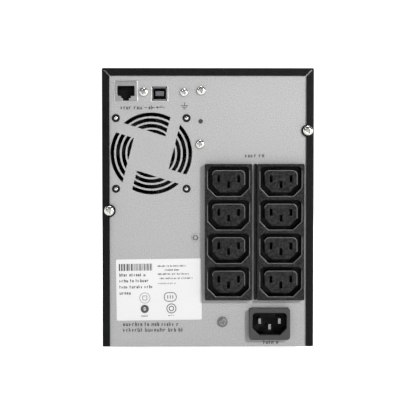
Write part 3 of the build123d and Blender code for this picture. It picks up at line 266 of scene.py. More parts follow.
def zinc_sheet():
    """Zinc-plated sheet with a faint spangle and rolling lines."""
    finish = Finish("zinc_sheet", grey(0.5), 0.35, metallic=1.0)
    spangle = finish.cells(7 * MM, output="Color")
    tone = finish.ramp(spangle, (0.42, 0.43, 0.44), (0.60, 0.61, 0.62), 0.2, 0.85)
    rolled = finish.noise(0.4 * MM, detail=3, stretch=(1, 0.04, 1))
    finish.color(finish.blend(0.35, tone, finish.ramp(rolled, grey(0.40), grey(0.62)), "MIX"))
    finish.roughness(spangle, 0.30, 0.46)
    finish.bump(rolled, 0.006 * MM, 0.4)
    return finish.material


def brushed_metal(name, color, roughness, along=(1, 1, 0.05)):
    """Metal with fine parallel lines."""
    finish = Finish(name, color, roughness, metallic=1.0)
    lines = finish.noise(0.25 * MM, detail=4, stretch=along)
    finish.color(finish.ramp(lines, scaled(color, 0.78), color, 0.3, 0.7))
    finish.roughness(lines, roughness * 0.8, roughness * 1.3)
    finish.bump(lines, 0.005 * MM, 0.5)
    return finish.material


def solder_mask():
    """Green board with buried tracks and a weave of glass showing through."""
    finish = Finish("solder_mask", (0.01, 0.12, 0.045), 0.28)
    tracks = finish.cells(3.4 * MM, output="Color", stretch=(1, 0.35, 1))
    base = finish.ramp(tracks, (0.006, 0.085, 0.03), (0.014, 0.16, 0.06), 0.45, 0.55)
    weave = finish.ramp(finish.noise(0.3 * MM, stretch=(1, 4, 1)), grey(0.86), grey(1.0))
    finish.color(finish.blend(1.0, base, weave, "MULTIPLY"))
    finish.roughness(finish.noise(3 * MM), 0.2, 0.36)
    finish.bump(tracks, 0.02 * MM, 0.4)
    return finish.material


def paper():
    """Satin film label."""
    finish = Finish("label_film", grey(0.47), 0.42)
    cloud = finish.noise(0.7 * MM, detail=4)
    finish.color(finish.ramp(cloud, (0.445, 0.445, 0.442), (0.472, 0.472, 0.469)))
    finish.roughness(finish.noise(12 * MM), 0.36, 0.48)
    finish.bump(finish.noise(9 * MM), 0.03 * MM, 0.5)
    return finish.material


def ink(name, value):
    """Screen-printed ink with slightly uneven coverage."""
    finish = Finish(name, grey(value), 0.5)
    finish.color(finish.ramp(finish.noise(0.25 * MM, detail=3), grey(value), grey(value * 1.6 + 0.01)))
    finish.roughness(finish.noise(0.6 * MM), 0.42, 0.6)
    return finish.material


def rubber():
    """Moulded rubber with a matt skin."""
    finish = Finish("rubber", grey(0.02), 0.75)
    finish.color(finish.ramp(finish.noise(1.2 * MM, detail=4), grey(0.014), grey(0.03)))
    finish.roughness(finish.noise(2.5 * MM, detail=3), 0.62, 0.85)
    finish.bump(finish.noise(0.5 * MM, detail=3), 0.04 * MM, 0.6)
    return finish.material


def wound_copper():
    """Enamelled wire laid side by side."""
    finish = Finish("wound_copper", (0.45, 0.14, 0.05), 0.3, metallic=1.0)
    wires = finish.tree.nodes.new("ShaderNodeTexWave")
    wires.bands_direction = "DIAGONAL"
    wires.inputs["Scale"].default_value = 1.0 / (3.2 * MM)
    wires.inputs["Distortion"].default_value = 0.4
    finish.tree.links.new(finish.place, wires.inputs["Vector"])
    finish.color(finish.ramp(wires.outputs["Fac"], (0.16, 0.04, 0.015), (0.55, 0.19, 0.07)))
    finish.roughness(finish.noise(1.5 * MM), 0.24, 0.4)
    finish.bump(wires.outputs["Fac"], 0.12 * MM, 0.7)
    return finish.material


def layered(name, low, high, pitch, direction="Y", roughness=0.45):
    """Stack of thin layers, such as laminations or wrapped tape."""
    finish = Finish(name, low, roughness)
    bands = finish.tree.nodes.new("ShaderNodeTexWave")
    bands.bands_direction = direction
    bands.inputs["Scale"].default_value = 0.314 / pitch
    bands.inputs["Distortion"].default_value = 0.25
    finish.tree.links.new(finish.place, bands.inputs["Vector"])
    tone = finish.ramp(bands.outputs["Fac"], low, high, 0.25, 0.6)
    stain = finish.ramp(finish.noise(14 * MM, detail=4), grey(0.7), grey(1.0))
    finish.color(finish.blend(1.0, tone, stain, "MULTIPLY"))
    finish.roughness(finish.noise(4 * MM), roughness * 0.8, roughness * 1.25)
    finish.bump(bands.outputs["Fac"], 0.06 * MM, 0.6)
    return finish.material


def tinted_window():
    """Clear lens with a smoky tint and faint flow lines."""
    finish = Finish("tinted_window", (0.55, 0.60, 0.64), 0.06)
    finish.roughness(finish.noise(18 * MM), 0.03, 0.09)
    finish.color(finish.ramp(finish.noise(30 * MM), (0.50, 0.55, 0.60), (0.58, 0.63, 0.68)))
    finish.bump(finish.noise(10 * MM), 0.01 * MM, 0.4)
    return finish.set(Transmission_Weight=1.0, IOR=1.45).material


def display_glass():
    """Unlit liquid-crystal glass: a grey-green ground with a faint cell grid."""
    finish = Finish("display_glass", (0.22, 0.28, 0.24), 0.18)
    grid = finish.cells(0.5 * MM)
    finish.color(finish.ramp(grid, (0.24, 0.31, 0.26), (0.29, 0.36, 0.30)))
    finish.roughness(finish.noise(8 * MM), 0.12, 0.22)
    return finish.material


FINISHES = {
    "case_black": powder_coat(),
    "panel_grey": fleck_paint(),
    "inner_steel": zinc_sheet(),
    "bright_screw": plated("nickel_plate", (0.50, 0.495, 0.48), 0.2),
    "dull_screw": plated("zinc_plate", (0.19, 0.193, 0.196), 0.34, 0.5),
    "rivet_grey": eroded_plastic("painted_rivet", grey(0.22), grey(0.28), (0.35, 0.5), 0.5 * MM,
                                 0.01 * MM),
    "outlet_black": outlet_plastic(),
    "inlet_black": eroded_plastic("inlet_moulding", grey(0.020), grey(0.030), specular=0.3),
    "brass": brushed_metal("brass", (0.72, 0.52, 0.22), 0.3),
    # Nickel pin plating darkened well below its own brightness: partly its own metal, partly painted
    # shade inside the inlet recess.
    "pin_nickel": brushed_metal("pin_plate_painted_shade", (0.20, 0.196, 0.19), 0.36, (1, 0.06, 1)),
    "tin_shield": plated("tin_plate", (0.30, 0.303, 0.306), 0.36),
    "jack_plastic": eroded_plastic("jack_moulding", grey(0.0015), grey(0.003), specular=0.12),
    "usb_plastic": gloss_plastic("usb_moulding", (0.06, 0.06, 0.065), 0.4),
    "gold_wire": brushed_metal("gold_flash", (0.95, 0.70, 0.27), 0.2),
    "board_green": solder_mask(),
    "fan_black": eroded_plastic("fan_moulding", grey(0.002), grey(0.004), (0.4, 0.6), 0.6 * MM,
                                specular=0.12),
    "insert_black": eroded_plastic("nylon_insert", grey(0.0015), grey(0.003), (0.3, 0.42), specular=0.2),
    "coil_tape": layered("coil_tape", (0.42, 0.30, 0.07), (0.60, 0.45, 0.13), 6 * MM, "Z", 0.3),
    "core_steel": layered("laminations", grey(0.035), grey(0.10), 0.6 * MM, "Y", 0.5),
    "heat_sink": brushed_metal("extruded_aluminium", (0.70, 0.71, 0.72), 0.34, (1, 1, 0.04)),
    "epoxy_black": eroded_plastic("epoxy", grey(0.018), grey(0.03)),
    "capacitor_sleeve": gloss_plastic("shrink_sleeve", (0.015, 0.02, 0.055), 0.25),
    "relay_case": gloss_plastic("relay_moulding", (0.02, 0.08, 0.24), 0.3),
    "choke_wire": wound_copper(),
    "nylon_white": eroded_plastic("natural_nylon", (0.66, 0.66, 0.61), (0.74, 0.74, 0.70), (0.4, 0.5)),
    "battery_case": eroded_plastic("battery_moulding", (0.045, 0.048, 0.055), (0.065, 0.07, 0.08),
                                   (0.4, 0.55), 0.6 * MM),
    "link_red": gloss_plastic("link_insulation", (0.42, 0.015, 0.01), 0.35),
    "plug_grey": eroded_plastic("connector_moulding", (0.20, 0.21, 0.22), (0.25, 0.26, 0.27)),
    "pull_black": eroded_plastic("handle_moulding", grey(0.014), grey(0.024)),
    "bezel_black": eroded_plastic("bezel_moulding", (0.006, 0.0063, 0.007), (0.014, 0.0145, 0.0155),
                                  (0.36, 0.5), 0.5 * MM, 0.04 * MM, 0.3),
    "window_tint": tinted_window(),
    "lcd": display_glass(),
    "button_grey": eroded_plastic("button_moulding", (0.13, 0.135, 0.14), (0.16, 0.165, 0.17),
                                  (0.36, 0.46)),
    "power_green": eroded_plastic("power_moulding", (0.04, 0.17, 0.07), (0.055, 0.21, 0.09),
                                  (0.34, 0.44)),
    "label_white": paper(),
    "foot_rubber": rubber(),
}
INK_BLACK = ink("ink_black", 0.02)
INK_GREY = ink("ink_grey", 0.10)
INK_WHITE = ink("ink_white", 0.62)
# The outlet contacts' brass is darkened almost to black so the slots read black: painted shade.
CONTACT_BRASS_PAINTED_SHADE = plated("contact_painted_shade", (0.06, 0.045, 0.022), 0.5)
# Lighter, glossier plastic for the beads round the outlet rims: painted highlight.
RIM_HIGHLIGHT_PLASTIC = eroded_plastic("outlet_rim_painted_highlight", grey(0.055), grey(0.075), (0.3, 0.4), specular=0.6)
# Bright plating for the beads at the port cut-outs: painted highlight.
RIM_HIGHLIGHT_METAL = plated("port_rim_painted_highlight", (0.52, 0.52, 0.515), 0.45)
DARK_RIVET = eroded_plastic("dark_rivet", grey(0.04), grey(0.07), (0.35, 0.5), 0.5 * MM, 0.01 * MM)
# Near-black for hollows, darker than the mouldings round them: painted shade.
PAINTED_SHADE_BLACK = eroded_plastic("recess_painted_shade", grey(0.0015), grey(0.003), specular=0.15)


def dress_cad_nodes():
    """Give every carried-over node the finish of its slot."""
    for part in frame["record"]["subparts"]:
        node = frame["nodes"][part["node"]]
        finish = FINISHES[part["material_slot"]]
        # The contacts deep in the slots get the shade-darkened brass.
        if part["node"] == "outlet_contacts":
            finish = CONTACT_BRASS_PAINTED_SHADE
        if not node.material_slots:
            node.data.materials.append(finish)
        for entry in node.material_slots:
            entry.material = finish


SOFT_EDGES = [("front_bezel", 0.6 * MM), ("battery_cover", 0.5 * MM), ("batteries", 0.8 * MM),
              ("drawer_door", 0.2 * MM)]


def soften(node, width):
    """Round the sharp edges of a CAD node a little, by modifiers alone."""
    item = frame["nodes"][node]
    item.modifiers.new("join", "WELD").merge_threshold = 0.00001
    edge = item.modifiers.new("edge", "BEVEL")
    edge.width = width
    edge.segments = 2
    edge.limit_method = "ANGLE"
    edge.angle_limit = math.radians(40)
    edge.use_clamp_overlap = True
    item.modifiers.new("shade", "WEIGHTED_NORMAL").keep_sharp = True


# ---- mesh helpers ---------------------------------------------------------
def node_box(node):
    """Lowest and highest corner of a CAD node, and its middle's x and z."""
    low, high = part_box(node)
    return low, high, (low.x + high.x) / 2, (low.z + high.z) / 2


def rear_place(x, z, y=0.0):
    """Maps (right, up, outward) as seen from behind the unit to the row frame."""
    return Matrix(((-1, 0, 0, x), (0, 0, 1, y), (0, 1, 0, z), (0, 0, 0, 1)))


def front_place(x, z, y=0.0):
    """Maps (right, up, outward) as seen from the front to the row frame."""
    return Matrix(((1, 0, 0, x), (0, 0, -1, y), (0, 1, 0, z), (0, 0, 0, 1)))


def side_place(y, z, x=0.0):
    """Maps (right, up, outward) as seen from the fan's side to the row frame."""
    return Matrix(((0, 0, 1, x), (1, 0, 0, y), (0, 1, 0, z), (0, 0, 0, 1)))


def turned(matrix, degrees):
    """Placement turned about its outward axis."""
    return matrix @ Matrix.Rotation(math.radians(degrees), 4, "Z")


def arc(cx, cy, radius, start, end, steps):
    """Points of an arc, angles in degrees."""
    points = []
    for step in range(steps + 1):
        angle = math.radians(start + (end - start) * step / steps)
        points.append((cx + radius * math.cos(angle), cy + radius * math.sin(angle)))
    return points


def rounded(width, height, radius, steps=6):
    """Rectangle with rounded corners, counter-clockwise."""
    w = width / 2 - radius
    h = height / 2 - radius
    points = []
    for cx, cy, start in ((w, h, 0), (-w, h, 90), (-w, -h, 180), (w, -h, 270)):
        points += arc(cx, cy, radius, start, start + 90, steps)
    return points


CORNER_STEPS = 7


def coupler(width, height, corner, chamfer):
    """Coupler outline: rounded above, chamfered below, every lower corner eased."""
    w = width / 2
    h = height / 2
    points = arc(w - corner, h - corner, corner, 0, 90, CORNER_STEPS)
    points += arc(-w + corner, h - corner, corner, 90, 180, CORNER_STEPS)
    ease = 0.5 * MM
    reach = ease * math.tan(math.radians(22.5))
    points += arc(-w + ease, -h + chamfer + reach, ease, 180, 225, 3)
    points += arc(-w + chamfer + reach, -h + ease, ease, 225, 270, 3)
    points += arc(w - chamfer - reach, -h + ease, ease, 270, 315, 3)
    points += arc(w - ease, -h + chamfer + reach, ease, 315, 360, 3)
    return points


def shifted(points, dx, dy):
    """Outline moved in its plane."""
    return [(x + dx, y + dy) for x, y in points]


def linked(name, data):
    """New object of the scene that shows data."""
    item = bpy.data.objects.new(name, data)
    bpy.context.scene.collection.objects.link(item)
    return item


def add_spline(curve, points):
    """Straight-sided spline through points of the plane w = 0."""
    spline = curve.splines.new("POLY")
    spline.points.add(len(points) - 1)
    for point, (u, v) in zip(spline.points, points):
        point.co = (u, v, 0.0, 1.0)
    return spline


def evaluated_mesh(item):
    """Mesh of an object with its modifiers or bevel applied; the object is used up."""
    bpy.context.view_layer.update()
    graph = bpy.context.evaluated_depsgraph_get()
    mesh = bpy.data.meshes.new_from_object(item.evaluated_get(graph))
    bpy.data.objects.remove(item)
    return mesh


def curve_to_mesh(curve):
    """Turn a bevelled curve into a mesh; the curve is used up."""
    mesh = evaluated_mesh(linked(curve.name, curve))
    bpy.data.curves.remove(curve)
    return mesh


def plate_mesh(name, outline, holes, depth, bevel):
    """Flat sheet from w = -depth to w = 0 with the given outline and holes, rims rounded by bevel."""
    curve = bpy.data.curves.new(name, "CURVE")
    curve.dimensions = "2D"
    curve.fill_mode = "BOTH"
    curve.extrude = depth / 2 - bevel
    curve.bevel_depth = bevel
    curve.bevel_resolution = 3
    curve.offset = -bevel
    for points in [outline, *holes]:
        add_spline(curve, points).use_cyclic_u = True
    mesh = curve_to_mesh(curve)
    mesh.transform(Matrix.Translation((0, 0, -depth / 2)))
    return mesh


def finished(name, shape):
    """Mesh data from a bmesh; the bmesh is used up."""
    mesh = bpy.data.meshes.new(name)
    shape.to_mesh(mesh)
    shape.free()
    return mesh


def lathe_mesh(name, profile, segments=48):
    """Closed solid turned from (radius, height) points; the first and last lie on the axis."""
    shape = bmesh.new()
    rings = []
    for radius, height in profile:
        if radius == 0:
            rings.append([shape.verts.new((0, 0, height))])
            continue
        ring = []
        for step in range(segments):
            angle = 2 * math.pi * step / segments
            ring.append(shape.verts.new((radius * math.cos(angle), radius * math.sin(angle), height)))
        rings.append(ring)
    for low, high in zip(rings, rings[1:]):
        for step in range(segments):
            following = (step + 1) % segments
            corners = [low[step % len(low)], low[following % len(low)], high[following % len(high)],
                       high[step % len(high)]]
            corners = list(dict.fromkeys(corners))
            if len(corners) > 2:
                shape.faces.new(corners)
    bmesh.ops.recalc_face_normals(shape, faces=shape.faces)
    return finished(name, shape)


def prism_mesh(name, outline, low, high, taper=1.0):
    """Closed prism of an outline between two heights, its lower end scaled by taper."""
    shape = bmesh.new()
    bottom = [shape.verts.new((u * taper, v * taper, low)) for u, v in outline]
    top = [shape.verts.new((u, v, high)) for u, v in outline]
    count = len(outline)
    shape.faces.new(bottom[::-1])
    shape.faces.new(top)
    for step in range(count):
        following = (step + 1) % count
        shape.faces.new([bottom[step], bottom[following], top[following], top[step]])
    bmesh.ops.recalc_face_normals(shape, faces=shape.faces)
    return finished(name, shape)


def bead_mesh(name, points, radius):
    """Round bead along an open run of points in the plane w = 0."""
    curve = bpy.data.curves.new(name, "CURVE")
    curve.dimensions = "3D"
    curve.bevel_depth = radius
    curve.bevel_resolution = 2
    curve.use_fill_caps = True
    add_spline(curve, points)
    return curve_to_mesh(curve)


def cut_mesh(body, tool):
    """body with tool taken away, both closed; the two meshes are used up."""
    solid = linked("body", body)
    cutter = linked("cutter", tool)
    cut = solid.modifiers.new("cut", "BOOLEAN")
    cut.operation = "DIFFERENCE"
    cut.solver = "EXACT"
    cut.object = cutter
    result = evaluated_mesh(solid)
    bpy.data.objects.remove(cutter)
    return result


def piece(name, parts, slot, body, replaced=(), smooth=40, finish=None):
    """Join (mesh, matrix) pairs into one visible piece that rides on body."""
    shape = bmesh.new()
    for mesh, matrix in parts:
        placed = mesh.copy()
        placed.transform(matrix)
        if matrix.determinant() < 0:
            placed.flip_normals()
        shape.from_mesh(placed)
        bpy.data.meshes.remove(placed)
    joined = finished(name, shape)
    joined.materials.append(finish or FINISHES[slot])
    for face in joined.polygons:
        face.material_index = 0
        face.use_smooth = True
    joined.set_sharp_from_angle(angle=math.radians(smooth))
    item = linked(name, joined)
    item.modifiers.new("shade", "WEIGHTED_NORMAL").keep_sharp = True
    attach(item, body)
    if replaced:
        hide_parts(*replaced)
    return item


# ---- couplers -------------------------------------------------------------
def slot_places():
    """Line, neutral and earth positions of a coupler about its centre."""
    return [(-PIN_SPACING, PIN_LIFT), (PIN_SPACING, PIN_LIFT), (0.0, PIN_LIFT - EARTH_DROP)]


def outlet_strip(number):
    """Four outlets in one moulding: bevelled face, deep recesses and slotted cores."""
    node = "outlet_strip_" + str(number)
    low, high, x, z = node_box(node)
    width = high.x - low.x
    height = high.z - low.z
    rows = [OUTLET_LIFT + OUTLET_PITCH * (row - (OUTLET_ROWS - 1) / 2) for row in range(OUTLET_ROWS)]
    recesses = [shifted(coupler(*RECESS), 0, row) for row in rows]
    proud = OUTLET_FACE_Y - PANEL_Y
    lip = 1.0 * MM
    floor_y = OUTLET_FACE_Y - RECESS_DEPTH
    face = plate_mesh("face", rounded(width, height, 1.0 * MM), recesses, proud, 0.5 * MM)
    body_outline = rounded(width - 2 * lip, height - 2 * lip, 0.5 * MM)
    sleeve = plate_mesh("sleeve", body_outline, recesses, PANEL_Y - floor_y, 0.05 * MM)
    slots = [shifted(rounded(*SLOT, 0.25 * MM, 2), u, v) for u, v in slot_places()]
    row_slots = [shifted(points, 0, row) for row in rows for points in slots]
    base = plate_mesh("base", body_outline, row_slots, floor_y - low.y, 0.05 * MM)
    core = plate_mesh("core", coupler(*CORE), slots, RECESS_DEPTH, 0.45 * MM)
    parts = [(face, rear_place(x, z, OUTLET_FACE_Y)), (sleeve, rear_place(x, z, PANEL_Y)),
             (base, rear_place(x, z, floor_y))]
    parts += [(core, rear_place(x, z + row, OUTLET_FACE_Y)) for row in rows]
    piece("outlet_moulding_" + str(number), parts, "outlet_black", "case", [node])
    if number == 2:
        lip_width, lip_height = 1.9 * MM, 1.6 * MM
        edge = plate_mesh("lip", rounded(lip_width, height, 0.3 * MM), [], lip_height, 0.3 * MM)
        beside = rear_place(high.x + lip_width / 2, z, PANEL_Y + lip_height)
        piece("strip_lip", [(edge, beside)], "outlet_black", "case")
    # Lighter beads along the sides and bottom of each recess mouth and the top of each core: painted
    # highlight where the rims catch light from above and the sides.
    bead = 0.26 * MM
    around = coupler(*RECESS)
    mouth = bead_mesh("mouth", around[CORNER_STEPS * 2 + 1:] + around[:2], bead)
    brow = coupler(*CORE)
    crown = bead_mesh("crown", brow[-1:] + brow[:CORNER_STEPS * 2 + 2], bead)
    rim_y = OUTLET_FACE_Y - 0.08 * MM
    beads = [(mesh, rear_place(x, z + row, rim_y)) for row in rows for mesh in (mouth, crown)]
    piece("outlet_highlight_beads_" + str(number), beads, "outlet_black", "case", (), 60, RIM_HIGHLIGHT_PLASTIC)


def inlet():
    """Mains inlet: bevelled flange, recess and three chamfered pins."""
    low, high, x, z = node_box("inlet_housing")
    opening = coupler(*INLET_OPENING)
    floor_y = INLET_FACE_Y - INLET_DEPTH
    flange = plate_mesh("flange", rounded(high.x - low.x, high.z - low.z, 2.2 * MM), [opening],
                        INLET_FACE_Y - PANEL_Y, 0.55 * MM)
    body_outline = rounded(27.0 * MM, 20.0 * MM, 1.0 * MM)
    sleeve = plate_mesh("sleeve", body_outline, [opening], PANEL_Y - floor_y, 0.05 * MM)
    base = plate_mesh("base", body_outline, [], floor_y - low.y, 0.05 * MM)
    piece("inlet_flange", [(flange, rear_place(x, z, INLET_FACE_Y))], "inlet_black", "case",
          ["inlet_housing"])
    # The inlet's recess takes a far darker black than the flange it is moulded with: painted shade.
    piece("inlet_recess", [(sleeve, rear_place(x, z, PANEL_Y)), (base, rear_place(x, z, floor_y))],
          "inlet_black", "case", (), 40, PAINTED_SHADE_BLACK)
    pin_low, pin_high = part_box("inlet_pins")
    pin = plate_mesh("pin", rounded(*PIN, 0.3 * MM, 3), [], pin_high.y - pin_low.y, 0.28 * MM)
    pins = [(pin, rear_place(x - u, z + v, pin_high.y)) for u, v in slot_places()]
    piece("inlet_blades", pins, "pin_nickel", "case", ["inlet_pins"])


# ---- data ports -----------------------------------------------------------
JACK_HEIGHT = 14.2 * MM


def jack_outline(ease=0.0):
    """Stepped mouth of the network jack: the latch's two steps are at the bottom."""
    steps = [(6.35 - ease, 3.8 - ease), (6.35 - ease, -3.3), (3.8 - ease, -3.3), (3.8 - ease, -4.9),
             (2.25 - ease, -4.9), (2.25 - ease, -6.75 + ease)]
    right = [(u * MM, v * MM) for u, v in steps]
    return right + [(-u, v) for u, v in reversed(right)]


def network_jack():
    """Folded tin face of the can, and the black moulding behind it."""
    low, high, x, z = node_box("rj45_shield")
    around = rounded(high.x - low.x, JACK_HEIGHT, 0.4 * MM)
    face = plate_mesh("jack_face", around, [jack_outline()], 0.5 * MM, 0.2 * MM)
    piece("jack_face", [(face, rear_place(x, z, high.y + 0.25 * MM))], "tin_shield", "case")
    inside = rounded(14.4 * MM, 13.6 * MM, 0.3 * MM)
    collar = plate_mesh("jack_collar", inside, [jack_outline(0.15)], 8.0 * MM, 0.1 * MM)
    back = plate_mesh("jack_back", rounded(14.4 * MM, 13.2 * MM, 0.3 * MM), [], 7.0 * MM, 0.1 * MM)
    piece("jack_moulding", [(collar, rear_place(x, z, high.y - 0.3 * MM)),
                            (back, rear_place(x, z, high.y - 8.5 * MM))],
          "jack_plastic", "case", ["rj45_insert"])


def port_rims():
    """Bright plated beads along the sides and foot of the two port cut-outs: painted highlight on their
    edges.
    """
    beads = []
    cut_outs = (("rj45_shield", 15.8 * MM, 14.5 * MM), ("usb_insert", 11.3 * MM, 10.1 * MM))
    for node, width, height in cut_outs:
        low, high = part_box(node)
        x = (low.x + high.x) / 2
        z = (low.z + high.z) / 2 if node == "usb_insert" else high.z - JACK_HEIGHT / 2
        for side in (-1, 1):
            u = side * (width / 2 + 0.2 * MM)
            run = [(u, -height / 2), (u, height / 2)]
            beads.append((bead_mesh("rim", run, 0.42 * MM), rear_place(x, z, PANEL_Y - 0.12 * MM)))
        foot = [(-width / 2, -height / 2 - 0.1 * MM), (width / 2, -height / 2 - 0.1 * MM)]
        beads.append((bead_mesh("rim", foot, 0.25 * MM), rear_place(x, z, PANEL_Y - 0.05 * MM)))
    piece("port_rims", beads, "panel_grey", "case", (), 60, RIM_HIGHLIGHT_METAL)


def usb_socket():
    """Black moulding inside the drawn shell, and its grey contact tongue."""
    _, high, x, z = node_box("usb_insert")
    mouth = [(-4.3, -3.7), (4.3, -3.7), (4.3, 2.3), (2.9, 3.7), (-2.9, 3.7), (-4.3, 2.3)]
    mouth = [(u * MM, v * MM) for u, v in mouth]
    ring = plate_mesh("ring", rounded(9.3 * MM, 8.0 * MM, 0.5 * MM), [mouth], 9.0 * MM, 0.08 * MM)
    back = plate_mesh("back", rounded(9.3 * MM, 8.0 * MM, 0.5 * MM), [], 5.0 * MM, 0.08 * MM)
    # The socket moulding takes the recess black, not its own glossy grey-black: partly its own colour,
    # partly painted shade.
    piece("usb_moulding", [(ring, rear_place(x, z, high.y)), (back, rear_place(x, z, high.y - 9.0 * MM))],
          "usb_plastic", "case", ["usb_insert"], 40, PAINTED_SHADE_BLACK)
    # A black skirt just behind the cut-out fills the gap round the shell: a dark sheet standing in for
    # shade.
    shell = rounded(10.3 * MM, 8.9 * MM, 0.9 * MM)
    skirt = plate_mesh("skirt", rounded(11.1 * MM, 9.9 * MM, 0.2 * MM), [shell], 1.0 * MM, 0.05 * MM)
    piece("usb_shade_skirt", [(skirt, rear_place(x, z, PANEL_Y - 0.9 * MM))], "usb_plastic", "case", (), 40,
          PAINTED_SHADE_BLACK)
    tongue = plate_mesh("tongue", rounded(6.0 * MM, 3.3 * MM, 0.25 * MM), [], 8.6 * MM, 0.15 * MM)
    piece("usb_tongue", [(tongue, rear_place(x, z + 0.3 * MM, high.y - 0.6 * MM))], "usb_plastic", "case")


# ---- fasteners ------------------------------------------------------------
def cross_outline(reach, half):
    """Outline of a plus sign with arms of the given reach and half width."""
    quarter = [(reach, -half), (reach, half), (half, half)]
    points = []
    for step in range(4):
        turn = Matrix.Rotation(math.radians(90 * step), 2)
        points += [tuple(turn @ Vector(point)) for point in quarter]
    return points


def pan_head_mesh(radius, height, shank_radius, shank_length):
    """Domed head with a tapered cross recess, on a plain shank."""
    rim = height * 0.42
    profile = [(0, -shank_length), (shank_radius * 0.7, -shank_length),
               (shank_radius, -shank_length + 0.8 * MM), (shank_radius, 0), (radius - 0.1 * MM, 0),
               (radius, 0.12 * MM), (radius, rim * 0.6)]
    steps = 9
    for step in range(1, steps):
        angle = math.pi / 2 * step / steps
        out = radius * (0.30 + 0.70 * math.cos(angle))
        profile.append((out, rim * 0.6 + (height - rim * 0.6) * math.sin(angle)))
    profile += [(radius * 0.2, height), (0, height)]
    head = lathe_mesh("head", profile)
    cross = cross_outline(radius * 0.60, radius * 0.13)
    recess = prism_mesh("recess", cross, height * 0.18, height * 1.3, 0.62)
    return cut_mesh(head, recess)


def screws():
    """Bright cross-recess screws of the cover, the panel and the earth point."""
    kinds = [("cover_screw", COVER_SCREWS, FLANGE_Y, 3.6 * MM, 2.3 * MM, 6.0 * MM),
             ("panel_screw", PANEL_SCREWS, PANEL_Y, 3.25 * MM, 2.1 * MM, 6.0 * MM),
             ("ground_screw", [GROUND_SCREW], PANEL_Y, 3.0 * MM, 2.0 * MM, 7.0 * MM)]
    for name, places, y, radius, height, length in kinds:
        head = pan_head_mesh(radius, height, 1.7 * MM, length)
        parts = [(head, turned(rear_place(x, z, y), turn)) for x, z, turn in places]
        node = name if name == "ground_screw" else name + "s"
        piece(name + "_head" + node[len(name):], parts, "bright_screw", "case", [node], 30)


def base_screw():
    """Dull hexagonal washer-head screw."""
    x, z, turn = BASE_SCREW
    profile = [(0, -6.0), (1.2, -6.0), (1.7, -5.2), (1.7, 0), (3.6, 0), (3.7, 0.15), (3.6, 0.9),
               (3.35, 0.9), (3.2, 0.1), (0, 0.1)]
    washer = lathe_mesh("washer", [(radius * MM, height * MM) for radius, height in profile])
    hexagon = arc(0, 0, 2.75 * MM, 0, 300, 5)
    head = plate_mesh("hexagon", hexagon, [], 1.9 * MM, 0.3 * MM)
    recess = prism_mesh("recess", cross_outline(1.75 * MM, 0.42 * MM), -0.9 * MM, 0.5 * MM, 0.7)
    head = cut_mesh(head, recess)
    place = turned(rear_place(x, z, PANEL_Y), turn)
    raised = place @ Matrix.Translation((0, 0, 2.0 * MM))
    piece("base_screw_head", [(washer, place), (head, raised)], "dull_screw", "case", ["base_screw"], 30)


def rivets():
    """Blind rivets, the large one painted with the panel and the small one darker."""
    for x, z, radius, hole in RIVETS:
        stem = min(radius * 0.75, 1.6 * MM)
        rise = 0.8 * MM
        profile = [(0, -4.0 * MM), (stem, -4.0 * MM), (stem, 0), (radius, 0), (radius, 0.1 * MM)]
        for step in range(1, 7):
            angle = math.pi / 2 * step / 6
            out = hole + (radius - hole) * math.cos(angle)
            profile.append((out, 0.1 * MM + (rise - 0.1 * MM) * math.sin(angle)))
        core = hole * 0.62
        profile += [(hole * 0.95, rise * 0.8), (hole * 0.95, -0.9 * MM), (core, -0.9 * MM),
                    (core, rise * 0.6), (core * 0.8, rise * 0.7), (0, rise * 0.7)]
        name = "rivet_dome_" + str(round(radius / MM))
        finish = DARK_RIVET if radius < 2 * MM else FINISHES["rivet_grey"]
        piece(name, [(lathe_mesh("rivet", profile), rear_place(x, z, PANEL_Y))], "rivet_grey", "case",
              ["panel_rivets"], 35, finish)


def fan_fixings():
    """Black nylon collars with a bright domed pin in each."""
    _, _, x, z = node_box("fan_frame")
    foot, top = [corner.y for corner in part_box("fan_inserts")]
    pin_foot, pin_top = [corner.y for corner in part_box("fan_pins")]
    collar = lathe_mesh("collar", [(1.42 * MM, foot - top), (2.1 * MM, foot - top), (2.1 * MM, -1.7 * MM),
                                   (2.9 * MM, -1.7 * MM), (2.9 * MM, -0.35 * MM), (2.65 * MM, 0),
                                   (1.65 * MM, 0), (1.42 * MM, -0.25 * MM), (1.42 * MM, foot - top)], 32)
    pin = lathe_mesh("pin", [(0, pin_foot - pin_top), (1.1 * MM, pin_foot - pin_top),
                             (1.38 * MM, pin_foot - pin_top + 0.4 * MM), (1.38 * MM, -0.55 * MM),
                             (1.2 * MM, -0.25 * MM), (0.8 * MM, -0.06 * MM), (0, 0)], 32)
    half = FAN_HOLE_SPACING / 2
    spots = [(x + dx, z + dz) for dx in (-half, half) for dz in (-half, half)]
    piece("fan_collars", [(collar, rear_place(u, v, top)) for u, v in spots], "insert_black", "case",
          ["fan_inserts"], 35)
    piece("fan_pin_heads", [(pin, rear_place(u, v, pin_top)) for u, v in spots], "bright_screw", "case",
          ["fan_pins"], 35)


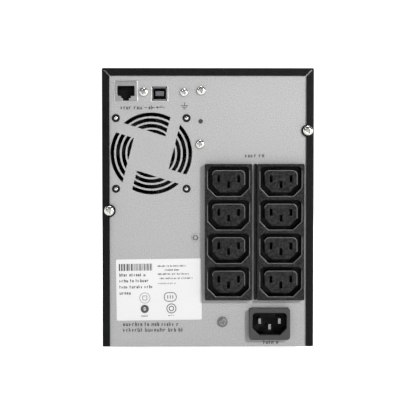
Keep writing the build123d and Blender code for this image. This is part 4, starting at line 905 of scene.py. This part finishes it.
# ---- fan rotor ------------------------------------------------------------
def blade_mesh(root, tip, chord, pitch_root, pitch_tip, sweep, thickness):
    """One cambered, twisted blade along +u, built from seven aerofoil sections."""
    shape = bmesh.new()
    sections = 7
    across = 8
    rings = []
    for index in range(sections):
        along = index / (sections - 1)
        radius = root + (tip - root) * along
        pitch = math.radians(pitch_root + (pitch_tip - pitch_root) * along)
        lean = math.radians(sweep * along ** 1.5)
        width = chord * (0.85 + 0.3 * along)
        ring = []
        for side in (1, -1):
            for step in range(across + 1):
                share = step / across if side == 1 else 1 - step / across
                if side == -1 and step in (0, across):
                    continue
                s = (share - 0.5) * width
                camber = 0.16 * width * (1 - (2 * share - 1) ** 2)
                skin = side * thickness / 2 * math.sqrt(max(0.0, 1 - (2 * share - 1) ** 2)) + camber
                tangent = s * math.cos(pitch) - skin * math.sin(pitch)
                height = s * math.sin(pitch) + skin * math.cos(pitch)
                angle = lean + tangent / radius
                ring.append(shape.verts.new((radius * math.cos(angle), radius * math.sin(angle), height)))
        rings.append(ring)
    count = len(rings[0])
    for low, high in zip(rings, rings[1:]):
        for step in range(count):
            following = (step + 1) % count
            shape.faces.new([low[step], low[following], high[following], high[step]])
    shape.faces.new(rings[0][::-1])
    shape.faces.new(rings[-1])
    bmesh.ops.recalc_face_normals(shape, faces=shape.faces)
    return finished("blade", shape)


def fan_rotor():
    """Hub cup with seven swept blades."""
    low, high, x, z = node_box("fan_rotor")
    front = high.y
    depth = high.y - low.y
    hub_radius = 12.25 * MM
    hub = lathe_mesh("hub", [(0, -depth + 1 * MM), (1.5 * MM, -depth + 1 * MM), (1.5 * MM, -1.8 * MM),
                             (11.0 * MM, -1.8 * MM), (11.0 * MM, -depth), (hub_radius, -depth),
                             (hub_radius, -1.2 * MM), (11.6 * MM, -0.35 * MM), (10.6 * MM, 0),
                             (3.6 * MM, 0), (3.3 * MM, -0.3 * MM), (0, -0.3 * MM)], 64)
    blade = blade_mesh(hub_radius - 0.4 * MM, 27.2 * MM, 16.0 * MM, 42, 30, 16, 1.5 * MM)
    centre = rear_place(x, z, front - depth / 2)
    parts = [(hub, rear_place(x, z, front))]
    parts += [(blade, turned(centre, 360 * index / 7)) for index in range(7)]
    piece("fan_blades", parts, "fan_black", "fan_rotor", ["fan_rotor"], 40)


# ---- printing -------------------------------------------------------------
INK_HEIGHT = 0.03 * MM


def bars_mesh(name, bars):
    """Thin rectangles (centre u, centre v, width, height) as one ink layer."""
    shape = bmesh.new()
    for u, v, width, height in bars:
        size = Matrix.Diagonal((width, height, INK_HEIGHT, 1))
        matrix = Matrix.Translation((u, v, INK_HEIGHT / 2)) @ size
        bmesh.ops.create_cube(shape, size=1.0, matrix=matrix)
    return finished(name, shape)


def greek_line(start, end, v, height, seed, weight=0.23):
    """Bars that stand for a line of printing: no letters, only strokes and gaps."""
    draw = random.Random(seed)
    stroke = height * weight
    bars = []
    u = start
    left = draw.randint(3, 7)
    while u < end - height * 0.5:
        width = height * draw.uniform(0.42, 0.66)
        tall = height * draw.choice((0.72, 0.72, 1.0))
        base = v - height / 2
        kind = draw.randint(0, 3)
        bars.append((u + stroke / 2, base + tall / 2, stroke, tall))
        if kind in (0, 1):
            bars.append((u + width - stroke / 2, base + height * 0.36, stroke, height * 0.72))
        level = (0.1, 0.62, 0.36, 0.62)[kind]
        bars.append((u + width / 2, base + height * level, width - stroke, stroke))
        u += width + height * 0.2
        left -= 1
        if left == 0:
            u += height * 0.45
            left = draw.randint(2, 7)
    return bars


def ring_mesh(outer, inner):
    """Flat ink ring, or a disc where inner is 0."""
    profile = [(inner, 0), (outer, 0), (outer, INK_HEIGHT), (inner, INK_HEIGHT)]
    if inner > 0:
        profile.append((inner, 0))
    return lathe_mesh("ring", profile, 40)


def line_between(start, end, width):
    """Ink stroke from start to end."""
    du = end[0] - start[0]
    dv = end[1] - start[1]
    length = math.hypot(du, dv)
    middle = Matrix.Translation(((start[0] + end[0]) / 2, (start[1] + end[1]) / 2, 0))
    along = Matrix.Rotation(math.atan2(dv, du), 4, "Z")
    return bars_mesh("stroke", [(0, 0, length, width)]), middle @ along


def strokes(points, width):
    """Ink strokes along a run of points."""
    return [line_between(a, b, width) for a, b in zip(points, points[1:])]


def panel_legends():
    """Marks printed on the socket panel, as generic strokes, and the earth symbol."""
    text = 2.75 * MM
    base = CHASSIS_BOTTOM
    lines = [(61.8, 45.3, 170.2, 1), (42.0, 37.4, 170.2, 2), (-26.2, -41.1, 136.3, 3),
             (-39.4, -50.0, 3.3, 4), (60.4, 20.8, 16.3, 5), (60.4, 15.2, 12.3, 6)]
    parts = []
    for left, right, height, seed in lines:
        bars = greek_line(0.0, (left - right) * MM, 0.0, text, seed)
        parts.append((bars_mesh("legend", bars), rear_place(left * MM, base + height * MM, PANEL_Y)))
    dashes = [(-9.4 * MM, 0, 2.2 * MM, 0.45 * MM), (-4.0 * MM, 0, 2.2 * MM, 0.45 * MM)]
    parts.append((bars_mesh("dashes", dashes), rear_place(34.5 * MM, base + 170.2 * MM, PANEL_Y)))
    # port symbol: a small tree of strokes beside the dashes
    port = rear_place(33.5 * MM, base + 170.2 * MM, PANEL_Y)
    for mesh, matrix in strokes([(-2.4 * MM, 0), (3.2 * MM, 0)], 0.4 * MM):
        parts.append((mesh, port @ matrix))
    parts.append((ring_mesh(0.75 * MM, 0), port @ Matrix.Translation((-2.4 * MM, 0, 0))))
    branch = [(-1.0 * MM, 0), (0.1 * MM, 0.95 * MM), (1.4 * MM, 0.95 * MM)]
    for mesh, matrix in strokes(branch, 0.35 * MM):
        parts.append((mesh, port @ matrix))
    earth = rear_place(16.7 * MM, base + 171.2 * MM, PANEL_Y)
    stem = [(0, 1.4 * MM, 0.5 * MM, 2.2 * MM), (0, 0.2 * MM, 5.3 * MM, 0.5 * MM),
            (0, -0.9 * MM, 3.4 * MM, 0.5 * MM), (0, -2.0 * MM, 1.5 * MM, 0.5 * MM)]
    parts.append((bars_mesh("earth", stem), earth))
    piece("panel_legends", parts, "rivet_grey", "case", (), 30, INK_BLACK)


def label():
    """White label with a bar block, strokes in place of text, and four plain marks."""
    _, _, x, z = node_box("rating_label")
    tilt = 0.7
    width = 60.5 * MM
    height = 43.6 * MM
    thick = 0.15 * MM
    sheet = plate_mesh("film", rounded(width, height, 0.9 * MM), [], thick, 0.04 * MM)
    ground = turned(rear_place(x, z, PANEL_Y + thick), tilt)
    piece("label_film", [(sheet, ground)], "label_white", "case", ["rating_label"], 30)
    draw = random.Random(11)
    bars = []
    u = -28.3 * MM
    while u < -4.4 * MM:
        bar = draw.choice((0.35, 0.35, 0.7, 1.0)) * MM
        bars.append((u + bar / 2, 16.1 * MM, bar, 5.0 * MM))
        u += bar + draw.choice((0.3, 0.3, 0.6)) * MM
    for seed, (right, v) in enumerate([(-8.4, 10.7), (-6.3, 6.5), (-2.8, 2.15), (-20.1, -2.2)]):
        bars += greek_line(-28.0 * MM, right * MM, v * MM, 2.2 * MM, 20 + seed, weight=0.22)
    small = [(-0.6, 20.7, 16.8), (4.3, 15.0, 14.0), (-0.6, 22.1, 11.1), (0.8, 24.2, 8.0)]
    for seed, (left, right, v) in enumerate(small):
        bars += greek_line(left * MM, right * MM, v * MM, 1.35 * MM, 40 + seed, weight=0.24)
    bars += greek_line(-12.8 * MM, -7.6 * MM, -18.6 * MM, 1.2 * MM, 50)
    bars += greek_line(6.4 * MM, 10.8 * MM, -18.6 * MM, 1.0 * MM, 51)
    dark = [(bars_mesh("print", bars), ground)]
    disc = ground @ Matrix.Translation((-10.3 * MM, -13.7 * MM, 0))
    dark.append((ring_mesh(2.95 * MM, 1.1 * MM), disc))
    dark.append((bars_mesh("disc_bar", [(0, 0, 2.4 * MM, 0.8 * MM)]), disc))
    frame_mark = ground @ Matrix.Translation((8.0 * MM, -5.4 * MM, 0))
    outer = rounded(8.5 * MM, 6.1 * MM, 2.6 * MM)
    for mesh, matrix in strokes(outer + outer[:1], 0.55 * MM):
        dark.append((mesh, frame_mark @ matrix))
    ticks = [(u * MM, 0, 0.6 * MM, 2.4 * MM) for u in (-1.8, 0.0, 1.8)]
    dark.append((bars_mesh("mark", ticks), frame_mark))
    badge = ground @ Matrix.Translation((8.7 * MM, -13.6 * MM, 0))
    dark.append((ring_mesh(3.55 * MM, 2.95 * MM), badge))
    dark.append((ring_mesh(1.9 * MM, 1.3 * MM), badge))
    piece("label_print", dark, "label_white", "case", (), 30, INK_BLACK)
    round_mark = ground @ Matrix.Translation((-10.1 * MM, -5.9 * MM, 0))
    light = [(ring_mesh(3.85 * MM, 3.45 * MM), round_mark)]
    corners = arc(0, 0, 2.1 * MM, 45, 405, 4)
    light += [(mesh, round_mark @ matrix) for mesh, matrix in strokes(corners, 0.5 * MM)]
    light.append((bars_mesh("faint", greek_line(-0.6 * MM, 12.9 * MM, 4.4 * MM, 1.15 * MM, 53)), ground))
    piece("label_faint_print", light, "label_white", "case", (), 30, INK_GREY)


def battery_labels():
    """Pale label with a coloured band and strokes for text on the side of each battery."""
    low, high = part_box("batteries")
    depth = (high.y - low.y) / BATTERY_COUNT
    width = 40.0 * MM
    height = 52.0 * MM
    sheet = plate_mesh("film", rounded(width, height, 1.5 * MM), [], 0.12 * MM, 0.03 * MM)
    bars = []
    for line in range(5):
        end = (16.0 - 4.0 * (line % 2)) * MM
        bars += greek_line(-17.0 * MM, end, (8.0 - 7.0 * line) * MM, 3.0 * MM, 60 + line)
    strokes_mesh = bars_mesh("text", bars)
    band_mesh = bars_mesh("band", [(0, 19.0 * MM, width - 3.0 * MM, 9.0 * MM)])
    films, prints, bands = [], [], []
    for index in range(BATTERY_COUNT):
        y = low.y + depth * (index + 0.5)
        place = side_place(y, low.z + 60.0 * MM, high.x + 0.12 * MM)
        films.append((sheet, place))
        prints.append((strokes_mesh, place))
        bands.append((band_mesh, place))
    piece("battery_label_films", films, "battery_case", "battery_drawer", (), 30, FINISHES["label_white"])
    piece("battery_label_print", prints, "battery_case", "battery_drawer", (), 30, INK_BLACK)
    piece("battery_label_bands", bands, "battery_case", "battery_drawer", (), 30, FINISHES["link_red"])


# ---- front ----------------------------------------------------------------
def key_marks():
    """Plain arrows on the menu keys, a dot on the third, and a ring with a bar on the power button."""
    for node, up in (("button_up", 1), ("button_down", -1)):
        low, _, x, z = node_box(node)
        place = front_place(x, z, low.y)
        arrow = [(-1.6 * MM, -0.9 * MM * up), (0, 0.9 * MM * up), (1.6 * MM, -0.9 * MM * up)]
        parts = [(mesh, place @ matrix) for mesh, matrix in strokes(arrow, 0.5 * MM)]
        piece(node + "_mark", parts, "button_grey", node, (), 30, INK_WHITE)
    low, _, x, z = node_box("button_enter")
    place = front_place(x, z, low.y)
    piece("button_enter_mark", [(ring_mesh(1.25 * MM, 0.75 * MM), place)], "button_grey",
          "button_enter", (), 30, INK_WHITE)
    low, _, x, z = node_box("power_button")
    place = front_place(x, z, low.y)
    turn = arc(0, 0, 2.6 * MM, 130, 410, 20)
    parts = [(mesh, place @ matrix) for mesh, matrix in strokes(turn, 0.55 * MM)]
    parts.append((bars_mesh("bar", [(0, 1.9 * MM, 0.55 * MM, 2.6 * MM)]), place))
    piece("power_button_mark", parts, "power_green", "power_button", (), 30, INK_WHITE)


def display_marks():
    """Segments on the display: two bar gauges and a row of dots."""
    _, _, x, z = node_box("lcd_module")
    glass_y = FASCIA_Y + 4.2 * MM
    centre = front_place(x, z, glass_y)
    bars = []
    for side in (-1, 1):
        for step in range(5):
            bars.append((side * 22.0 * MM, (-5.6 + 2.8 * step) * MM, (4.0 + 0.9 * step) * MM, 1.9 * MM))
    for column in range(4):
        u = (-9.0 + 6.0 * column) * MM
        bars += [(u, 2.6 * MM, 3.0 * MM, 0.7 * MM), (u, -2.0 * MM, 3.0 * MM, 0.7 * MM),
                 (u - 1.7 * MM, 0.3 * MM, 0.7 * MM, 4.2 * MM),
                 (u + 1.7 * MM, 0.3 * MM, 0.7 * MM, 4.2 * MM)]
    bars += [((-10.5 + 3.0 * step) * MM, -5.6 * MM, 1.5 * MM, 1.0 * MM) for step in range(8)]
    piece("display_segments", [(bars_mesh("segments", bars), centre)], "lcd", "case", (), 30, INK_BLACK)


# ---- stage, light and camera ----------------------------------------------
def stage():
    """Wide pale floor."""
    finish = Finish("studio_floor", grey(0.4), 0.8)
    finish.color(finish.ramp(finish.noise(0.5, detail=2), grey(0.39), grey(0.41)))
    finish.set(Emission_Color=(1.0, 1.0, 1.0, 1.0), Emission_Strength=0.88)
    shape = bmesh.new()
    bmesh.ops.create_circle(shape, cap_ends=True, radius=9.0, segments=96)
    bmesh.ops.inset_region(shape, faces=shape.faces[:], thickness=7.0)
    mesh = finished("studio_floor", shape)
    mesh.materials.append(finish.material)
    linked("studio_floor", mesh)


def area_light(name, spot, target, size, watts):
    """Round soft lamp aimed at target."""
    data = bpy.data.lights.new(name, "AREA")
    data.shape = "DISK"
    data.size = size
    data.energy = watts
    lamp = linked(name, data)
    lamp.location = spot
    lamp.rotation_mode = "QUATERNION"
    lamp.rotation_quaternion = (Vector(target) - Vector(spot)).to_track_quat("-Z", "Y")


def lights():
    """Small key above the inlet's side, rim lamps level with the panel, broad lamps in front."""
    panel = (0.0, PANEL_Y, 0.107)
    area_light("key", (-0.62, 1.13, 0.50), panel, 0.16, 14.5)
    area_light("second", (0.55, 0.95, 0.75), panel, 0.16, 1.5)
    area_light("left_rim", (1.5, 0.34, 0.35), panel, 0.6, 5.0)
    area_light("right_rim", (-1.5, 0.34, 0.25), panel, 0.6, 8.0)
    area_light("over_rim", (-0.1, 0.34, 1.6), panel, 0.6, 8.0)
    area_light("front_key", (-0.9, -1.7, 1.1), (0, -0.2, 0.1), 0.6, 20.0)
    area_light("front_fill", (1.6, -0.8, 1.2), (0, 0, 0.1), 1.2, 12.0)
    area_light("top", (0.0, -0.3, 2.4), (0, -0.3, 0), 2.0, 60.0)


def world():
    """Studio surround: bright round the horizon and the display side, dark above the socket side."""
    surround = bpy.data.worlds.new("studio")
    surround.use_nodes = True
    tree = surround.node_tree
    place = tree.nodes.new("ShaderNodeTexCoord")
    split = tree.nodes.new("ShaderNodeSeparateXYZ")
    ranges = []
    for limits in ((-0.45, 0.15, 1.15, 0.06), (0.02, 0.30, 1.0, 0.0)):
        node = tree.nodes.new("ShaderNodeMapRange")
        node.interpolation_type = "SMOOTHSTEP"
        for socket, value in zip(("From Min", "From Max", "To Min", "To Max"), limits):
            node.inputs[socket].default_value = value
        ranges.append(node)
    ramp, band = ranges
    brighter = tree.nodes.new("ShaderNodeMath")
    brighter.operation = "MAXIMUM"
    tree.links.new(place.outputs["Generated"], split.inputs["Vector"])
    tree.links.new(split.outputs["Y"], ramp.inputs["Value"])
    tree.links.new(split.outputs["Z"], band.inputs["Value"])
    tree.links.new(ramp.outputs["Result"], brighter.inputs[0])
    tree.links.new(band.outputs["Result"], brighter.inputs[1])
    tree.links.new(brighter.outputs["Value"], tree.nodes["Background"].inputs["Strength"])
    tree.nodes["Background"].inputs["Color"].default_value = (1.0, 1.0, 1.0, 1.0)
    bpy.context.scene.world = surround
    bpy.context.scene.view_settings.view_transform = "Standard"


def camera():
    """Nearly square to the socket panel, a little above its middle."""
    data = bpy.data.cameras.new("camera")
    data.sensor_width = 36.0
    data.lens = 97.6
    data.clip_start = 0.05
    data.clip_end = 20.0
    eye = linked("camera", data)
    eye.location = (0.0094, 0.9995, 0.135)
    aim = Vector((0.0, PANEL_Y, 0.107))
    eye.rotation_mode = "QUATERNION"
    eye.rotation_quaternion = (aim - eye.location).to_track_quat("-Z", "Y")
    bpy.context.scene.camera = eye


dress_cad_nodes()
for node, width in SOFT_EDGES:
    soften(node, width)
for number in (1, 2):
    outlet_strip(number)
inlet()
network_jack()
port_rims()
usb_socket()
screws()
base_screw()
rivets()
fan_fixings()
fan_rotor()
panel_legends()
label()
battery_labels()
key_marks()
display_marks()
stage()
lights()
world()
camera()
